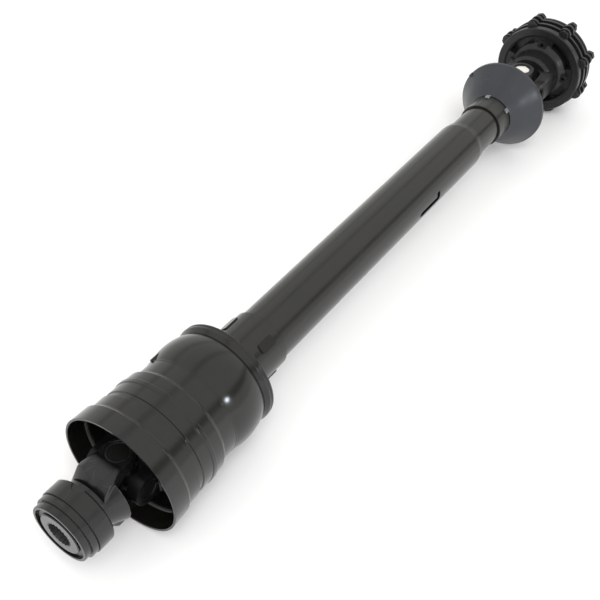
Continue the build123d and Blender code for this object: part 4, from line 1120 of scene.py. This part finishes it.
@dataclass
class Fasteners:
    """Clutch bolts and nuts, and the housing's flange bolts. Sizes in millimetres."""

    paints: Paintbox
    rings: RingArray
    circle: float = 80.5
    count: int = 8
    phase: float = 22.5
    across: float = 17.0
    head_height: float = 5.6
    nut_bore: float = 4.9
    nut_washer: float = 0.8
    thread_start: float = 5.0
    thread_radius: float = 4.95
    thread_pitch: float = 1.25
    head_sharpness: float = 25.0
    thread_sharpness: float = 60.0

    def clutch(self) -> None:
        """Build the clutch's bolts and nuts."""
        low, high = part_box("clutch_nuts")
        height = (high.x - low.x) / MM
        nut = hexagon_nut("clutch_nut", self.across, height, self.nut_bore, self.nut_washer)
        self.ring("clutch_nut_set", crisp(nut, self.head_sharpness), "clutch_nuts")
        low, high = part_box("clutch_bolts")
        length = (high.x - low.x) / MM
        head = hexagon_nut("clutch_bolt_head", self.across, self.head_height, 0.0)
        stud = threaded("clutch_bolt_stud", self.thread_start, length, self.thread_radius, self.thread_pitch)
        pieces = [crisp(head, self.head_sharpness), crisp(stud, self.thread_sharpness)]
        bolt = joined("clutch_bolt", pieces)
        self.ring("clutch_bolt_set", bolt, "clutch_bolts")

    def ring(self, name: str, unit: bpy.types.Object, node: str) -> None:
        """Repeat a fastener round the clutch, dress the set and place it.

        Args:
            name: The set's name.
            unit: One fastener, starting at the origin.
            node: The CAD node that the set stands for.
        """
        finish = "dark_fastener"
        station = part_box(node)[0].x / MM
        fasteners = self.rings.repeat(
            unit, self.count, self.phase, self.paints.materials[finish], self.circle, station
        )
        fasteners.name = name
        self.paints.dress(fasteners, finish)
        placed(fasteners, "clutch", node)

    def housing(self) -> None:
        """Build the four flange bolts of the centre housing."""
        piece = skin("housing_bolts", 0.3)
        self.paints.dress(piece, "zinc_plate")
        placed(piece, "centre_housing", "housing_bolts")


# ---------------------------------------------------------------- studio


@dataclass
class Studio:
    """Floor, soft lights and camera."""

    eye: Place = (-0.2732, -0.5197, 0.8666)
    right: Place = (0.58294, -0.81248, 0.0)
    up: Place = (0.56591, 0.40602, 0.7175)
    forward: Place = (0.58303, 0.41826, -0.6965)
    lens: float = 53.9
    sensor: float = 36.0
    aim: Place = (0.25, 0.0, 0.0)
    floor_half: float = 14.0
    floor_gap: float = 0.0005
    floor_colour: tuple[float, float, float, float] = (0.98, 0.98, 0.98, 1.0)
    panel_strength: float = 1.05
    panels: tuple[tuple[float, float], ...] = (
        (0.0, 0.95), (25.0, 0.97), (33.0, 0.62), (41.0, 1.0), (70.0, 1.02), (79.0, 0.62), (88.0, 1.0),
        (143.0, 1.0), (151.0, 0.34), (158.0, 0.34), (166.0, 1.0), (180.0, 0.95),
    )

    def camera(self) -> None:
        """Add the camera."""
        data = bpy.data.cameras.new("camera")
        data.lens = self.lens
        data.sensor_width = self.sensor
        data.clip_end = 100.0
        camera = bpy.data.objects.new("camera", data)
        back = tuple(-value for value in self.forward)
        turn = Matrix((self.right, self.up, back)).transposed().to_4x4()
        camera.matrix_world = Matrix.Translation(self.eye) @ turn
        bpy.context.scene.collection.objects.link(camera)
        bpy.context.scene.camera = camera

    def floor(self) -> None:
        """Add a wide pale floor just under the shaft."""
        low = CAD_BOX[0][2] - self.floor_gap
        half = self.floor_half
        corners = ((-half, -half), (half, -half), (half, half), (-half, half))
        shape = bmesh.new()
        shape.faces.new([shape.verts.new((x, y, low)) for x, y in corners])
        floor = finished_mesh("floor", shape)
        material = bpy.data.materials.new("pale_floor")
        material.use_nodes = True
        surface = material.node_tree.nodes["Principled BSDF"]
        surface.inputs["Base Color"].default_value = self.floor_colour
        surface.inputs["Roughness"].default_value = 0.95
        surface.inputs["Specular IOR Level"].default_value = 0.0
        floor.data.materials.append(material)

    def light(
        self, name: str, place: Place, size: float, power: float, colour: Colour, mirrored: bool
    ) -> None:
        """Add one round soft light that faces the shaft.

        Args:
            name: The light's name.
            place: Where it stands.
            size: Its width in metres.
            power: Its power in watts.
            colour: Its colour.
            mirrored: Whether glossy surfaces show it.
        """
        data = bpy.data.lights.new(name, "AREA")
        data.shape = "DISK"
        data.size = size
        data.energy = power
        data.color = colour
        light = bpy.data.objects.new(name, data)
        light.location = place
        light.rotation_euler = (Vector(self.aim) - Vector(place)).to_track_quat("-Z", "Y").to_euler()
        light.visible_glossy = mirrored
        bpy.context.scene.collection.objects.link(light)

    def surroundings(self) -> None:
        """Light the scene from long white panels along the shaft, with darker gaps between them.

        Each of panels is an angle round the shaft from +Y in degrees, and the brightness there.
        """
        world = bpy.data.worlds.new("panel_room")
        bpy.context.scene.world = world
        world.use_nodes = True
        graph = ShaderGraph(world.node_tree)
        background = next(node for node in graph.tree.nodes if node.type == "BACKGROUND")
        way = graph.add("ShaderNodeSeparateXYZ", {0: graph.add("ShaderNodeTexCoord").outputs["Generated"]})
        turn = graph.math("ARCTAN2", way.outputs["Z"], way.outputs["Y"])
        share = graph.math("DIVIDE", turn, FULL_TURN)
        ramp = graph.add("ShaderNodeValToRGB", {"Fac": graph.math("ADD", share, 0.5)})
        stops = ramp.color_ramp.elements
        for index, (angle, level) in enumerate(self.panels):
            position = 0.5 + angle / 360
            stop = stops[index] if index < 2 else stops.new(position)
            stop.position = position
            stop.color = (level, level * 0.995, level * 0.98, 1)
        graph.tree.links.new(ramp.outputs["Color"], background.inputs["Color"])
        background.inputs["Strength"].default_value = self.panel_strength

    def build(self) -> None:
        """Set the whole studio up."""
        self.camera()
        self.floor()
        self.surroundings()
        self.light("spark", (0.136, -2.455, 1.049), 0.30, 11.0, (0.86, 0.91, 1.0), True)
        self.light("key", (-0.7, -1.3, 2.6), 1.6, 36.0, (1.0, 0.995, 0.985), False)
        settings = bpy.context.scene.view_settings
        settings.view_transform = "Standard"
        settings.look = "None"


def main() -> None:
    """Build the studio and every sub-assembly."""
    logging.basicConfig(level=logging.INFO, format="%(message)s")
    Studio().build()
    paints = Paintbox()
    rings = RingArray()
    SolidPieces(paints).build()
    FrontGuard(paints, rings).build()
    RearGuard(paints).build()
    LockingCollar(paints).build()
    TractorYoke(paints).build()
    fasteners = Fasteners(paints, rings)
    fasteners.clutch()
    fasteners.housing()


if __name__ == "__main__":
    main()
